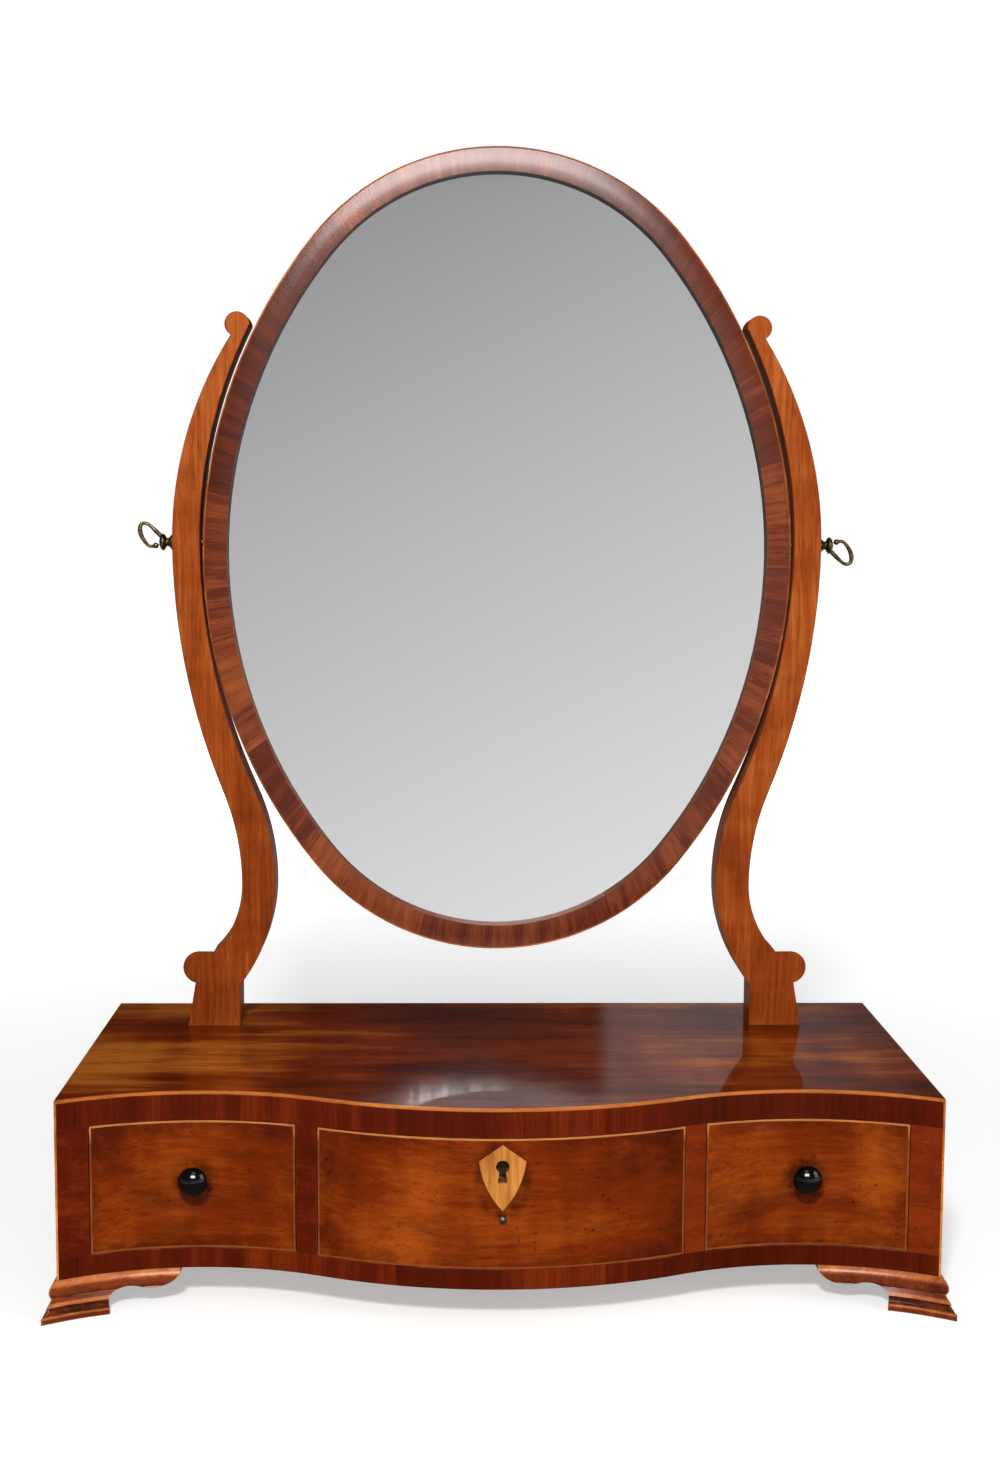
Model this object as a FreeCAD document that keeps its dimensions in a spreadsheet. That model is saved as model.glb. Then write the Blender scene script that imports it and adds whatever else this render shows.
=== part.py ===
import FreeCAD, Part
import math
import os
import re
import Sketcher
from FreeCAD import Placement, Rotation, Vector

# A box toilet mirror. X runs to the right, Y to the back and Z up from the floor.
# Sizes in millimetres. A reach is measured sideways from the middle of the box.
sizes = {
    # box
    "base_width": 460,
    "base_depth": 209,
    "base_height": 95,
    "hollow_at": 157,
    "hollow_depth": 18,
    "bow_depth": 15,
    "top_thickness": 8,
    "bottom_thickness": 6.5,
    "end_thickness": 16,
    "back_thickness": 8,
    "rail_depth": 22,
    "top_rail_height": 7.2,
    "bottom_rail_height": 4.2,
    "partition_at": 101.5,
    "partition_thickness": 11,
    "facing_thickness": 1.5,
    "line_width": 1.5,
    "corner_line": 1.0,
    "drawer_line": 0.9,
    "runner_width": 12,
    "stop_width": 30,
    "stop_height": 14,
    "stop_depth": 10,
    # feet
    "foot_height": 20,
    "bracket_thickness": 11,
    "plinth_length": 26.3,
    "plinth_height": 3.6,
    "plinth_projection": 6,
    "cove_projection": 4.9,
    "cove_radius": 2.4,
    "ramp_projection": 4.2,
    "ramp_height": 7.5,
    "neck_projection": 2,
    "neck_height": 11.4,
    "torus_radius": 6.5,
    "ogee_top": 0.8,
    "wing_length": 61.5,
    "wing_tip": 2.4,
    "shoulder_height": 9,
    "arch_reach": 41,
    "arch_height": 11.6,
    "arch_radius": 13,
    "wing_radius": 18,
    "foot_block": 10,
    "foot_block_drop": 3,
    "overrun": 1,
    # drawers
    "drawer_gap": 0.5,
    "run_gap": 0.3,
    "front_thickness": 16,
    "lining_thickness": 6,
    "side_drop": 3,
    "panel_thickness": 3.5,
    "panel_lift": 5,
    "groove_depth": 3,
    "housing_depth": 2,
    "tail_length": 8,
    "pin_wide": 8,
    "pin_narrow": 4,
    "fit_gap": 0.05,
    "knob_rise": 4.4,
    "knob_diameter": 15.5,
    "knob_reach": 15,
    "knob_dome": 4.5,
    "knob_rim": 1,
    "knob_cove_radius": 8.5,
    "knob_neck": 6.5,
    "knob_neck_at": 3.75,
    "knob_seat": 9,
    "knob_tenon": 6,
    "knob_tenon_length": 10,
    # escutcheon, pull pin and lock
    "shield_width": 24,
    "shield_height": 34.5,
    "shield_drop": 3.2,
    "shield_shoulder": 8.5,
    "shield_radius": 46,
    "shield_thickness": 1.5,
    "keyhole_drop": 8,
    "keyhole_diameter": 6.9,
    "keyhole_height": 12,
    "keyhole_waist": 3.6,
    "keyhole_foot": 5,
    "pull_diameter": 4.2,
    "pull_proud": 3,
    "pull_drop": 41.7,
    "pull_shank": 2.4,
    "pull_shank_length": 9,
    "lock_plate_width": 50,
    "lock_plate_thickness": 1.5,
    "lock_height": 30,
    "lock_width": 34,
    "lock_depth": 8,
    "bolt_width": 14,
    "bolt_thickness": 4,
    "bolt_height": 15,
    "bolt_gap": 0.4,
    "lock_screw_diameter": 2.4,
    "lock_screw_head": 4.4,
    "lock_screw_length": 8,
    "lock_screw_edge": 4,
    # uprights
    "upright_thickness": 22,
    "upright_setback": 34,
    "upright_width": 15.6,
    "swing_gap": 1.6,
    "foot_step": 21,
    "foot_width": 30.5,
    "heel_height": 24.5,
    "lobe_step": 6.9,
    "lobe_height": 35.3,
    "lobe_radius": 9.6,
    "lobe_root_angle": 75,
    "lobe_fall": 5.4,
    "nick_step": 15,
    "nick_drop": 0.8,
    "waist_height": 85,
    "waist_width": 19.4,
    "sweep_height": 140,
    "sweep_gap": 5.9,
    "scroll_rise": 124,
    "scroll_gap": 3.6,
    "scroll_radius": 7,
    "scroll_nick_angle": 60,
    "tenon_length": 18,
    "tenon_width": 12,
    "tenon_depth": 6,
    "screw_diameter": 4,
    "screw_head": 8,
    "screw_length": 36,
    # swivels
    "swivel_shank": 5,
    "swivel_play": 0.08,
    "swivel_gap": 0.3,
    "plate_height": 20,
    "plate_width": 14,
    "plate_thickness": 1,
    "nail_diameter": 1.6,
    "nail_head": 3,
    "nail_crown": 1.5,
    "nail_head_height": 0.75,
    "nail_length": 6,
    "nail_spacing": 15,
    "collar_diameter": 9.5,
    "collar_rim": 1,
    "collar_length": 4,
    "throat_diameter": 4.4,
    "knot_diameter": 9.6,
    "knot_band": 1.4,
    "knot_at": 6.6,
    "stem_tip": 2.2,
    "loop_start": 8.6,
    "loop_root": 1,
    "loop_length": 12.5,
    "loop_wide_at": 7.75,
    "loop_half_height": 8.2,
    "loop_wire": 2.4,
    "loop_lean": 27,
    # mirror
    "oval_half_width": 170.3,
    "oval_half_height": 231.3,
    "oval_end_radius": 137,
    "oval_drop": 6.7,
    "box_clearance": 46,
    "frame_width": 14,
    "frame_thickness": 20,
    "sight_fall": 0.1,
    "edge_fall": 1.1,
    "cushion_radius": 60,
    "oval_line": 0.9,
    "lip_depth": 6,
    "rebate_width": 6,
    "glass_thickness": 3,
    "glass_gap": 0.5,
    "back_panel_thickness": 4,
    "back_panel_inset": 1,
    "wedge_length": 24,
    "wedge_width": 9,
    "brad_diameter": 1.4,
    "brad_head": 2.6,
    "brad_head_height": 0.5,
    "brad_length": 8,
    "nut_diameter": 9,
    "nut_length": 6.5,
    "nut_inset": 0.4,
}

# Lengths that follow from the sizes. A level is a height above the floor, and a back is a depth
# behind the front corners of the box.
follows = {
    "origin_back": "(base_depth - bow_depth - pull_proud) / 2",
    # box
    "half_width": "base_width / 2",
    "inner_reach": "half_width - end_thickness",
    "partition_outer": "partition_at + partition_thickness / 2",
    "partition_inner": "partition_at - partition_thickness / 2",
    "box_top": "foot_height + base_height",
    "case_floor": "foot_height + bottom_thickness",
    "bay_floor": "case_floor + bottom_rail_height",
    "bay_top": "box_top - top_thickness - top_rail_height",
    # serpentine front: a hollow arc each side, tangent to the bow in the middle
    "hollow_radius": "((half_width - hollow_at)^2 + hollow_depth^2) / (2 * hollow_depth)",
    "arc_span": "(hollow_at^2 + (bow_depth + hollow_depth)^2) / (2 * (bow_depth + hollow_depth))",
    "bow_radius": "arc_span - hollow_radius",
    "hollow_centre": "hollow_depth - hollow_radius",
    "cutter_start": "-bow_depth - pull_proud - overrun",
    "cutter_depth": "bow_depth + pull_proud + hollow_depth + front_thickness + 2 * overrun",
    # feet
    "corner_sine": "(half_width - hollow_at) / hollow_radius",
    "corner_cosine": "-1 * hollow_centre / hollow_radius",
    "mitre_reach": "plinth_projection * corner_cosine / (1 - corner_sine) + overrun",
    # drawers and lock
    "drawer_floor": "bay_floor + run_gap",
    "drawer_top": "bay_top - drawer_gap",
    "knob_level": "(drawer_floor + drawer_top) / 2 + knob_rise",
    "drawer_end": "base_depth - back_thickness - stop_depth - run_gap",
    "shield_top": "drawer_top - shield_drop",
    "keyhole_top": "shield_top - keyhole_drop",
    "lock_back": "front_thickness - bow_depth",
    "bolt_front": "lock_back - lock_plate_thickness - bolt_gap - bolt_thickness",
    # mirror: a four-centred oval
    "end_rise": "oval_half_height - oval_end_radius",
    "end_run": "oval_half_width - oval_end_radius",
    "side_run": "(end_rise^2 - end_run^2) / (2 * end_run)",
    "side_radius": "side_run + oval_half_width",
    "pivot_height": "oval_half_height + oval_drop + box_clearance",
    "pivot_level": "box_top + pivot_height",
    "pivot_back": "base_depth - upright_setback - upright_thickness / 2",
    "oval_level": "pivot_level - oval_drop",
    "frame_front": "pivot_back - frame_thickness / 2",
    "rebate_inset": "frame_width - rebate_width",
    # uprights: they follow the oval from the sweep to the scroll, heights above the box
    "bow_inner": "oval_half_width + swing_gap",
    "bow_outer": "bow_inner + upright_width",
    "scroll_height": "pivot_height + scroll_rise",
    "scroll_side": "sqrt(side_radius^2 - (scroll_rise + oval_drop)^2) - side_run",
    "scroll_reach": "scroll_side + scroll_gap + scroll_radius",
    "sweep_drop": "pivot_height - oval_drop - sweep_height",
    "sweep_inner": "sqrt(side_radius^2 - sweep_drop^2) - side_run + sweep_gap",
    "sweep_share": "(sweep_height - waist_height) / (pivot_height - waist_height)",
    "waist_inner": "(sweep_inner - bow_inner * sweep_share) / (1 - sweep_share)",
    "waist_outer": "waist_inner + waist_width",
    "sweep_outer": "waist_outer + (bow_outer - waist_outer) * sweep_share",
    "foot_inner": "waist_inner + foot_step",
    "foot_outer": "foot_inner + foot_width",
    "lobe_reach": "foot_outer - lobe_step",
}

tail_count = 3
side_wedge_angles = (-14, 14)
end_wedge_angles = (25, -25)

doc = FreeCAD.newDocument("toilet_mirror")
sheet = doc.addObject("Spreadsheet::Sheet", "Sizes")
for row, (alias, number) in enumerate(sizes.items(), 1):
    sheet.set(f"A{row}", str(number))
    sheet.setAlias(f"A{row}", alias)
doc.recompute()

nodes = {}


def formula(text):
    # every name of a size becomes a reference to its cell, and what follows from sizes is written out
    return re.sub(r"[a-z]+(?:_[a-z]+)*", lambda word: written_out(word[0]), text)


def written_out(word):
    if word in follows:
        return f"({formula(follows[word])})"
    return f"Sizes.{word}" if word in sizes else word


def value(text):
    return float(sheet.evalExpression(formula(text)))


def bind(item, field, text):
    item.setExpression(field, formula(text))


def keep(name, item):
    item.Label = name
    nodes[name] = item
    return item


def place(item, across="0", back="0", up="0"):
    bind(item, "Placement.Base.x", across)
    bind(item, "Placement.Base.y", f"{back} - origin_back")
    bind(item, "Placement.Base.z", up)
    return item


def box(name, across, back, up, width, depth, height):
    item = doc.addObject("Part::Box", name)
    bind(item, "Length", width)
    bind(item, "Width", depth)
    bind(item, "Height", height)
    return place(item, across, back, up)


def rod(name, direction, diameter, length, across, back, up):
    item = doc.addObject("Part::Cylinder", name)
    item.Placement = Placement(Vector(), Rotation(Vector(0, 0, 1), direction))
    bind(item, "Radius", f"({diameter}) / 2")
    bind(item, "Height", length)
    return place(item, across, back, up)


def group(name, *items):
    item = doc.addObject("Part::Compound", name)
    item.Links = list(items)
    return item


def cut(name, base, *tools):
    for tool in tools:
        item = doc.addObject("Part::Cut", f"{name}_cut")
        item.Base = base
        item.Tool = tool
        base = item
    return base


def join(name, first, second):
    item = doc.addObject("Part::Fuse", f"{name}_joint")
    item.Base = first
    item.Tool = second
    return item


def common(name, first, second):
    item = doc.addObject("Part::Common", f"{name}_trim")
    item.Base = first
    item.Tool = second
    return item


def mirrored(name, source):
    item = doc.addObject("Part::Mirroring", name)
    item.Source = source
    item.Normal = Vector(1, 0, 0)
    return item


# Outlines: each corner is (u, v), or (u, v, radius, turn) where an arc follows it,
# turning left for 1 and right for -1.


def arc(start, end, radius, turn):
    chord = end - start
    rise = math.sqrt(max(radius ** 2 - chord.Length ** 2 / 4, 0))
    left = Vector(-chord.y, chord.x, 0).normalize()
    centre = (start + end) / 2 + left * rise * turn
    ends = (start, end) if turn > 0 else (end, start)
    angles = [math.atan2(point.y - centre.y, point.x - centre.x) for point in ends]
    return Part.ArcOfCircle(Part.Circle(centre, Vector(0, 0, 1), radius), *angles)


def segments(corners):
    points = [Vector(value(corner[0]), value(corner[1]), 0) for corner in corners]
    for here, corner in enumerate(corners):
        start = points[here]
        end = points[(here + 1) % len(points)]
        if len(corner) == 2:
            yield Part.LineSegment(start, end), 1
        else:
            yield arc(start, end, value(corner[2]), corner[3]), corner[3]


def draw(sketch, corners):
    ends = []
    for geometry, turn in segments(corners):
        index = sketch.addGeometry(geometry)
        ends.append((index, 1, 2) if turn > 0 else (index, 2, 1))
    for here, (index, first, last) in enumerate(ends):
        after, after_first, _ = ends[(here + 1) % len(ends)]
        sketch.addConstraint(Sketcher.Constraint("Coincident", index, last, after, after_first))
        for kind, text in zip(("DistanceX", "DistanceY"), corners[here]):
            limit(sketch, text, kind, -1, 1, index, first)
        if len(corners[here]) > 2:
            limit(sketch, corners[here][2], "Radius", index)


def limit(sketch, text, kind, *targets):
    number = sketch.addConstraint(Sketcher.Constraint(kind, *targets, value(text)))
    bind(sketch, f"Constraints[{number}]", text)


def sketch_on(body, plane, *outlines):
    sketch = body.newObject("Sketcher::SketchObject", f"{body.Name}_sketch")
    support = next(item for item in body.Origin.OriginFeatures if item.Role == plane)
    sketch.AttachmentSupport = [(support, "")]
    sketch.MapMode = "FlatFace"
    for corners in outlines:
        draw(sketch, corners)
    return sketch


def padded(name, plane, length, *outlines):
    # grows up from the plan, to the back from the front view, to the right from the side view
    body = doc.addObject("PartDesign::Body", name)
    pad = body.newObject("PartDesign::Pad", f"{name}_pad")
    pad.Profile = sketch_on(body, plane, *outlines)
    pad.Reversed = plane == "XZ_Plane"
    bind(pad, "Length", length)
    body.Tip = pad
    return body


def turned(name, axis, corners, plane="XY_Plane"):
    body = doc.addObject("PartDesign::Body", name)
    turning = body.newObject("PartDesign::Revolution", f"{name}_turning")
    turning.Profile = sketch_on(body, plane, corners)
    turning.ReferenceAxis = (turning.Profile[0], [axis])
    turning.Angle = 360
    body.Tip = turning
    return body


def swept(name, path, section):
    body = doc.addObject("PartDesign::Body", name)
    pipe = body.newObject("PartDesign::AdditivePipe", f"{name}_pipe")
    pipe.Spine = sketch_on(body, "XZ_Plane", path)
    pipe.Profile = sketch_on(body, "XY_Plane", section)
    body.Tip = pipe
    return body


def rectangle(left, low, right, high):
    return [(left, low), (right, low), (right, high), (left, high)]


def screw(name, kind, direction, extra, across, back, up):
    # countersunk wood screw, or with some extra all round the bore that it goes into
    rise = f"({kind}_head - {kind}_diameter) / 2"
    shank = f"{kind}_diameter / 2 + {extra}"
    point = f"{kind}_length + {extra}"
    corners = [("0", "0"), (f"{kind}_head / 2 + {extra}", "0"), (shank, rise), (shank, point), ("0", point)]
    body = turned(name, "V_Axis", corners)
    body.Placement = Placement(Vector(), Rotation(Vector(0, 1, 0), direction))
    return place(body, across, back, up)


# The serpentine front


def turn_reach(inset):
    return f"(hollow_at * (1 - (hollow_radius + {inset}) / arc_span))"


def turn_back(inset):
    rise = "(arc_span - bow_depth - hollow_depth)"
    return f"(hollow_centre + {rise} * (hollow_radius + {inset}) / arc_span)"


def front_back(across, inset):
    # depth of the front at one place, a distance in from its surface
    if abs(value(across)) > value(turn_reach(inset)):
        return f"(hollow_centre + sqrt((hollow_radius + {inset})^2 - (abs({across}) - hollow_at)^2))"
    return f"(bow_radius - bow_depth - sqrt((bow_radius - {inset})^2 - ({across})^2))"


def front_line(start, stop, inset):
    turns = [f"-{turn_reach(inset)}", turn_reach(inset)]
    between = [turn for turn in turns if value(start) < value(turn) < value(stop)]
    stations = [(start, front_back(start, inset))]
    stations += [(turn, turn_back(inset)) for turn in between]
    stations += [(stop, front_back(stop, inset))]
    bends = []
    for (left, _), (right, _) in zip(stations, stations[1:]):
        if abs(value(f"({left} + {right}) / 2")) > value(turn_reach(inset)):
            bends.append((f"(hollow_radius + {inset})", -1))
        else:
            bends.append((f"(bow_radius - {inset})", 1))
    return stations, bends


def front_edge(start, stop, inset):
    stations, bends = front_line(start, stop, inset)
    return [station + bend for station, bend in zip(stations, bends)] + [stations[-1]]


def strip(start, stop, near, far):
    # plan between two lines parallel to the front
    stations, bends = front_line(start, stop, far)
    stations.reverse()
    bends.reverse()
    back_edge = [station + (radius, -turn) for station, (radius, turn) in zip(stations, bends)]
    return front_edge(start, stop, near) + back_edge + [stations[-1]]


def slab(start, stop, near, back):
    # plan from a line parallel to the front to a straight back
    return front_edge(start, stop, near) + [(stop, back), (start, back)]


def layer(name, plan, up, height):
    return place(padded(name, "XY_Plane", height, plan), up=up)


def make_boards():
    keep("bottom_board", layer("bottom_board", slab("-inner_reach", "inner_reach", "facing_thickness",
                                                    "base_depth"), "foot_height", "bottom_thickness"))
    end = layer("left_end", slab("-half_width", "-inner_reach", "facing_thickness", "base_depth"),
                "foot_height", "base_height - top_thickness")
    keep("left_end", end)
    keep("right_end", mirrored("right_end", end))
    keep("back_board", box("back_board", "-inner_reach", "base_depth - back_thickness", "case_floor",
                           "2 * inner_reach", "back_thickness",
                           "base_height - top_thickness - bottom_thickness"))


def make_top_board(uprights, screws):
    board = layer("top_board", slab("-half_width", "half_width", "facing_thickness", "base_depth"),
                  "box_top - top_thickness", "top_thickness")
    keep("top_board", cut("top_board", board, *uprights, *screws))


def make_rails():
    plan = strip("-inner_reach", "inner_reach", "facing_thickness", "facing_thickness + rail_depth")
    low = keep("bottom_rail", layer("bottom_rail", plan, "case_floor", "bottom_rail_height"))
    high = layer("top_rail", plan, "bay_top", "top_rail_height")
    mortise = box("bolt_mortise", "-bolt_width / 2 - bolt_gap", "bolt_front - bolt_gap", "bay_top",
                  "bolt_width + 2 * bolt_gap", "bolt_thickness + 2 * bolt_gap", "top_rail_height")
    keep("top_rail", cut("top_rail", high, mortise))
    wall = layer("left_partition", slab("-partition_outer", "-partition_inner", "facing_thickness",
                                        "base_depth - back_thickness"),
                 "case_floor", "base_height - top_thickness - bottom_thickness")
    wall = keep("left_partition", cut("left_partition", wall, low, high))
    keep("right_partition", mirrored("right_partition", wall))


def make_facing():
    sheet_end = "(half_width - corner_line)"
    skin = layer("front_facing", strip(f"-{sheet_end}", sheet_end, "0", "facing_thickness"),
                 "foot_height", "base_height - line_width")
    bays = [("-inner_reach", "-partition_outer"), ("-partition_inner", "partition_inner"),
            ("partition_outer", "inner_reach")]
    openings = [box("bay_opening", left, "cutter_start", "bay_floor", f"{right} - ({left})", "cutter_depth",
                    "bay_top - bay_floor") for left, right in bays]
    keep("front_facing", cut("front_facing", skin, *openings))
    top = layer("top_line", strip("-half_width", "half_width", "0", "facing_thickness"),
                "box_top - line_width", "line_width")
    left = layer("left_line", strip("-half_width", f"-{sheet_end}", "0", "facing_thickness"),
                 "foot_height", "base_height - line_width")
    keep("edge_stringing", group("edge_stringing", top, left, mirrored("right_line", left)))


def make_runners():
    back = "(hollow_depth + facing_thickness + rail_depth)"
    lefts = ["-inner_reach", "-partition_outer - runner_width", "-partition_inner"]
    strips = [box("runner", left, back, "case_floor", "runner_width",
                  f"base_depth - back_thickness - {back}", "bottom_rail_height") for left in lefts]
    strips += [mirrored("runner_twin", item) for item in strips]
    keep("drawer_runners", group("drawer_runners", *strips))
    side = "((inner_reach + partition_outer) / 2)"
    stops = [box("stop", f"{middle} - stop_width / 2", "base_depth - back_thickness - stop_depth",
                 "drawer_floor + panel_lift + panel_thickness", "stop_width", "stop_depth", "stop_height")
             for middle in (f"-{side}", "0", side)]
    keep("drawer_stops", group("drawer_stops", *stops))


# Drawers


def side_outline(shoulder):
    # side view of a drawer side, with dovetails at its front end
    top = "(drawer_top - side_drop)"
    pitch = f"(({top} - drawer_floor) / {tail_count})"
    tip = f"({shoulder} - tail_length)"
    corners = [(shoulder, "drawer_floor"), ("drawer_end", "drawer_floor"), ("drawer_end", top),
               (shoulder, top)]
    for number in reversed(range(tail_count)):
        low = f"(drawer_floor + {number} * {pitch})"
        high = f"(drawer_floor + {number + 1} * {pitch})"
        corners += [(shoulder, f"{high} - pin_wide / 2"), (tip, f"{high} - pin_narrow / 2"),
                    (tip, f"{low} + pin_narrow / 2"), (shoulder, f"{low} + pin_wide / 2")]
    return corners


def drawer_side(name, left, panel):
    middle = f"({left} + lining_thickness / 2)"
    shoulder = f"({front_back(middle, 'front_thickness')} - housing_depth)"
    blank = place(padded(name, "YZ_Plane", "lining_thickness", side_outline(shoulder)), across=left)
    keep(name, cut(name, blank, panel))
    return blank


def drawer_box(name, start, stop, first_side, second_side):
    # everything but the fittings: returns the front before its last cuts
    panel_up = "(drawer_floor + panel_lift)"
    reach_in = "(lining_thickness - groove_depth)"
    panel = layer(f"{name}_bottom", slab(f"({start} + {reach_in})", f"({stop} - {reach_in})",
                                         "(front_thickness - groove_depth)", "drawer_end"),
                  panel_up, "panel_thickness")
    keep(f"{name}_bottom", panel)
    first = drawer_side(f"{name}_{first_side}_side", start, panel)
    second = drawer_side(f"{name}_{second_side}_side", f"({stop} - lining_thickness)", panel)
    over_panel = f"({panel_up} + panel_thickness)"
    wall = box(f"{name}_back", f"{start} + lining_thickness", "drawer_end - lining_thickness", over_panel,
               f"{stop} - ({start}) - 2 * lining_thickness", "lining_thickness",
               f"drawer_top - side_drop - {over_panel}")
    keep(f"{name}_back", wall)
    height = "drawer_top - drawer_floor"
    rim = layer(f"{name}_stringing", strip(start, stop, "0", "drawer_line"), "drawer_floor", height)
    field = box(f"{name}_field", f"{start} + drawer_line", "cutter_start", "drawer_floor + drawer_line",
                f"{stop} - ({start}) - 2 * drawer_line", "cutter_depth", f"{height} - 2 * drawer_line")
    rim = keep(f"{name}_stringing", cut(f"{name}_stringing", rim, field))
    front = layer(f"{name}_front", strip(start, stop, "0", "front_thickness"), "drawer_floor", height)
    return cut(f"{name}_front", front, first, second, panel, rim)


def make_knob(name, across, front):
    # turned mushroom knob with its seat scribed to the front, and a tenon glued into the front
    back = front_back(across, "0")
    corners = [("0", "-knob_reach", "(knob_diameter^2 / 4 + knob_dome^2) / (2 * knob_dome)", 1),
               ("knob_diameter / 2", "knob_dome - knob_reach"),
               ("knob_diameter / 2", "knob_dome - knob_reach + knob_rim", "knob_cove_radius", -1),
               ("knob_neck / 2", "-knob_neck_at"),
               ("knob_seat / 2", "0"),
               ("knob_seat / 2", "overrun"),
               ("0", "overrun")]
    head = cut(name, place(turned(f"{name}_head", "V_Axis", corners), across, back, "knob_level"), front)
    tenon = rod(f"{name}_tenon", Vector(0, 1, 0), "knob_tenon", "knob_tenon_length + overrun",
                across, f"{back} - overrun", "knob_level")
    return keep(name, join(name, head, tenon))


def make_side_drawers():
    start = "(drawer_gap - inner_reach)"
    stop = "(-partition_outer - drawer_gap)"
    middle = f"(({start} + {stop}) / 2)"
    front = drawer_box("left_drawer", start, stop, "outer", "inner")
    make_knob("left_drawer_knob", middle, front)
    bore = rod("knob_bore", Vector(0, 1, 0), "knob_tenon + 2 * fit_gap",
               "knob_tenon_length + fit_gap + overrun", middle, f"{front_back(middle, '0')} - overrun",
               "knob_level")
    keep("left_drawer_front", cut("left_drawer_front", front, bore))
    for piece in ("front", "stringing", "outer_side", "inner_side", "back", "bottom", "knob"):
        keep(f"right_drawer_{piece}", mirrored(f"right_drawer_{piece}", nodes[f"left_drawer_{piece}"]))


# The centre drawer's shield, keyhole, pull pin and lock


def shield_outline():
    top = "shield_top"
    shoulder = f"({top} - shield_shoulder)"
    point = f"({top} - shield_height)"
    return [("0", top), ("-shield_width / 2", shoulder, "shield_radius", 1), ("0", point, "shield_radius", 1),
            ("shield_width / 2", shoulder)]


def keyhole_outline():
    # a round eye with a slot that widens at its foot
    eye = "keyhole_diameter / 2"
    side = "keyhole_waist / 2"
    level = f"(keyhole_top - {eye})"
    low = "(keyhole_top - keyhole_height)"
    drop = f"sqrt(({eye})^2 - ({side})^2)"
    return [(f"-{side}", f"{level} - {drop}"), ("-keyhole_foot / 2", low), ("keyhole_foot / 2", low),
            (side, f"{level} - {drop}", eye, 1), (eye, level, eye, 1), ("0", "keyhole_top", eye, 1),
            (f"-{eye}", level, eye, 1)]


def make_lock():
    # the lock before its last cuts, and the cutters: bolt space and screw holes
    low = "(drawer_top - lock_height)"
    plate = box("lock_plate", "-lock_plate_width / 2", "lock_back - lock_plate_thickness", low,
                "lock_plate_width", "lock_plate_thickness", "lock_height")
    case = box("lock_box", "-lock_width / 2", "lock_back - lock_depth", low, "lock_width", "lock_depth",
               "lock_height")
    cavity = box("bolt_cavity", "-bolt_width / 2 - bolt_gap", "bolt_front - bolt_gap",
                 "drawer_top - bolt_height - bolt_gap", "bolt_width + 2 * bolt_gap",
                 "bolt_thickness + 2 * bolt_gap", "bolt_height + 2 * bolt_gap")
    keep("lock_bolt", box("lock_bolt", "-bolt_width / 2", "bolt_front", "drawer_top - bolt_height",
                          "bolt_width", "bolt_thickness", "bolt_height"))
    spots = [(f"{side} * (lock_plate_width / 2 - lock_screw_edge)", level) for side in ("-1", "1")
             for level in ("drawer_top - lock_screw_edge", f"{low} + lock_screw_edge")]
    ahead = Vector(0, -1, 0)
    screws = [screw("lock_screw", "lock_screw", ahead, "0", across, "lock_back", level)
              for across, level in spots]
    bores = [screw("lock_bore", "lock_screw", ahead, "fit_gap", across, "lock_back", level)
             for across, level in spots]
    keep("lock_screws", group("lock_screws", *screws))
    return join("lock_case", plate, case), cavity, bores


def make_escutcheon():
    # boxwood shield let in flush with the bow, and the keyhole through to the bolt
    prism = place(padded("shield_prism", "XZ_Plane", "cutter_depth", shield_outline()), back="cutter_start")
    blank = layer("shield_blank", strip("-shield_width", "shield_width", "0", "shield_thickness"),
                  "shield_top - shield_height - overrun", "shield_height + 2 * overrun")
    inlay = common("escutcheon", blank, prism)
    keyhole = padded("keyhole", "XZ_Plane", "bolt_front - bolt_gap - cutter_start", keyhole_outline())
    place(keyhole, back="cutter_start")
    keep("escutcheon", cut("escutcheon", inlay, keyhole))
    return inlay, keyhole


def make_pull():
    level = "(drawer_top - pull_drop)"
    corners = [("0", "-pull_proud", "pull_diameter / 2", 1),
               ("pull_diameter / 2", "pull_diameter / 2 - pull_proud"), ("pull_diameter / 2", "-fit_gap"),
               ("pull_shank / 2", "-fit_gap"), ("pull_shank / 2", "pull_shank_length"),
               ("0", "pull_shank_length")]
    keep("pull_pin", place(turned("pull_pin", "V_Axis", corners), "0", "-bow_depth", level))
    return rod("pull_bore", Vector(0, 1, 0), "pull_shank + 2 * fit_gap",
               "pull_shank_length + fit_gap + overrun", "0", "-bow_depth - overrun", level)


def make_centre_drawer():
    stop = "(partition_inner - drawer_gap)"
    front = drawer_box("centre_drawer", f"-{stop}", stop, "left", "right")
    inlay, keyhole = make_escutcheon()
    lock, cavity, bores = make_lock()
    low = "(drawer_top - lock_height)"
    seat = box("lock_seat", "-lock_plate_width / 2", "lock_back - lock_plate_thickness", low,
               "lock_plate_width", "front_thickness", "lock_height")
    housing = box("lock_housing", "-lock_width / 2", "lock_back - lock_depth", low,
                  "lock_width", "lock_depth", "lock_height")
    front = cut("centre_drawer_front", front, inlay, keyhole, make_pull(), seat, housing, *bores)
    keep("centre_drawer_front", front)
    keep("lock_case", cut("lock_case", lock, cavity, keyhole, *bores))


# Feet


def ogee(face_at):
    # section of a bracket: torus, neck, ramp and cove above a square plinth
    def out(projection):
        return f"({face_at} - ({projection}))"
    return [(out("ogee_top"), "foot_height", "torus_radius", 1),
            (out("neck_projection"), "neck_height"), (out("ramp_projection"), "ramp_height", "cove_radius", -1),
            (out("cove_projection"), "plinth_height"), (out("plinth_projection"), "plinth_height"),
            (out("plinth_projection"), "0"), (out("-bracket_thickness"), "0"),
            (out("-bracket_thickness"), "foot_height")]


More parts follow.
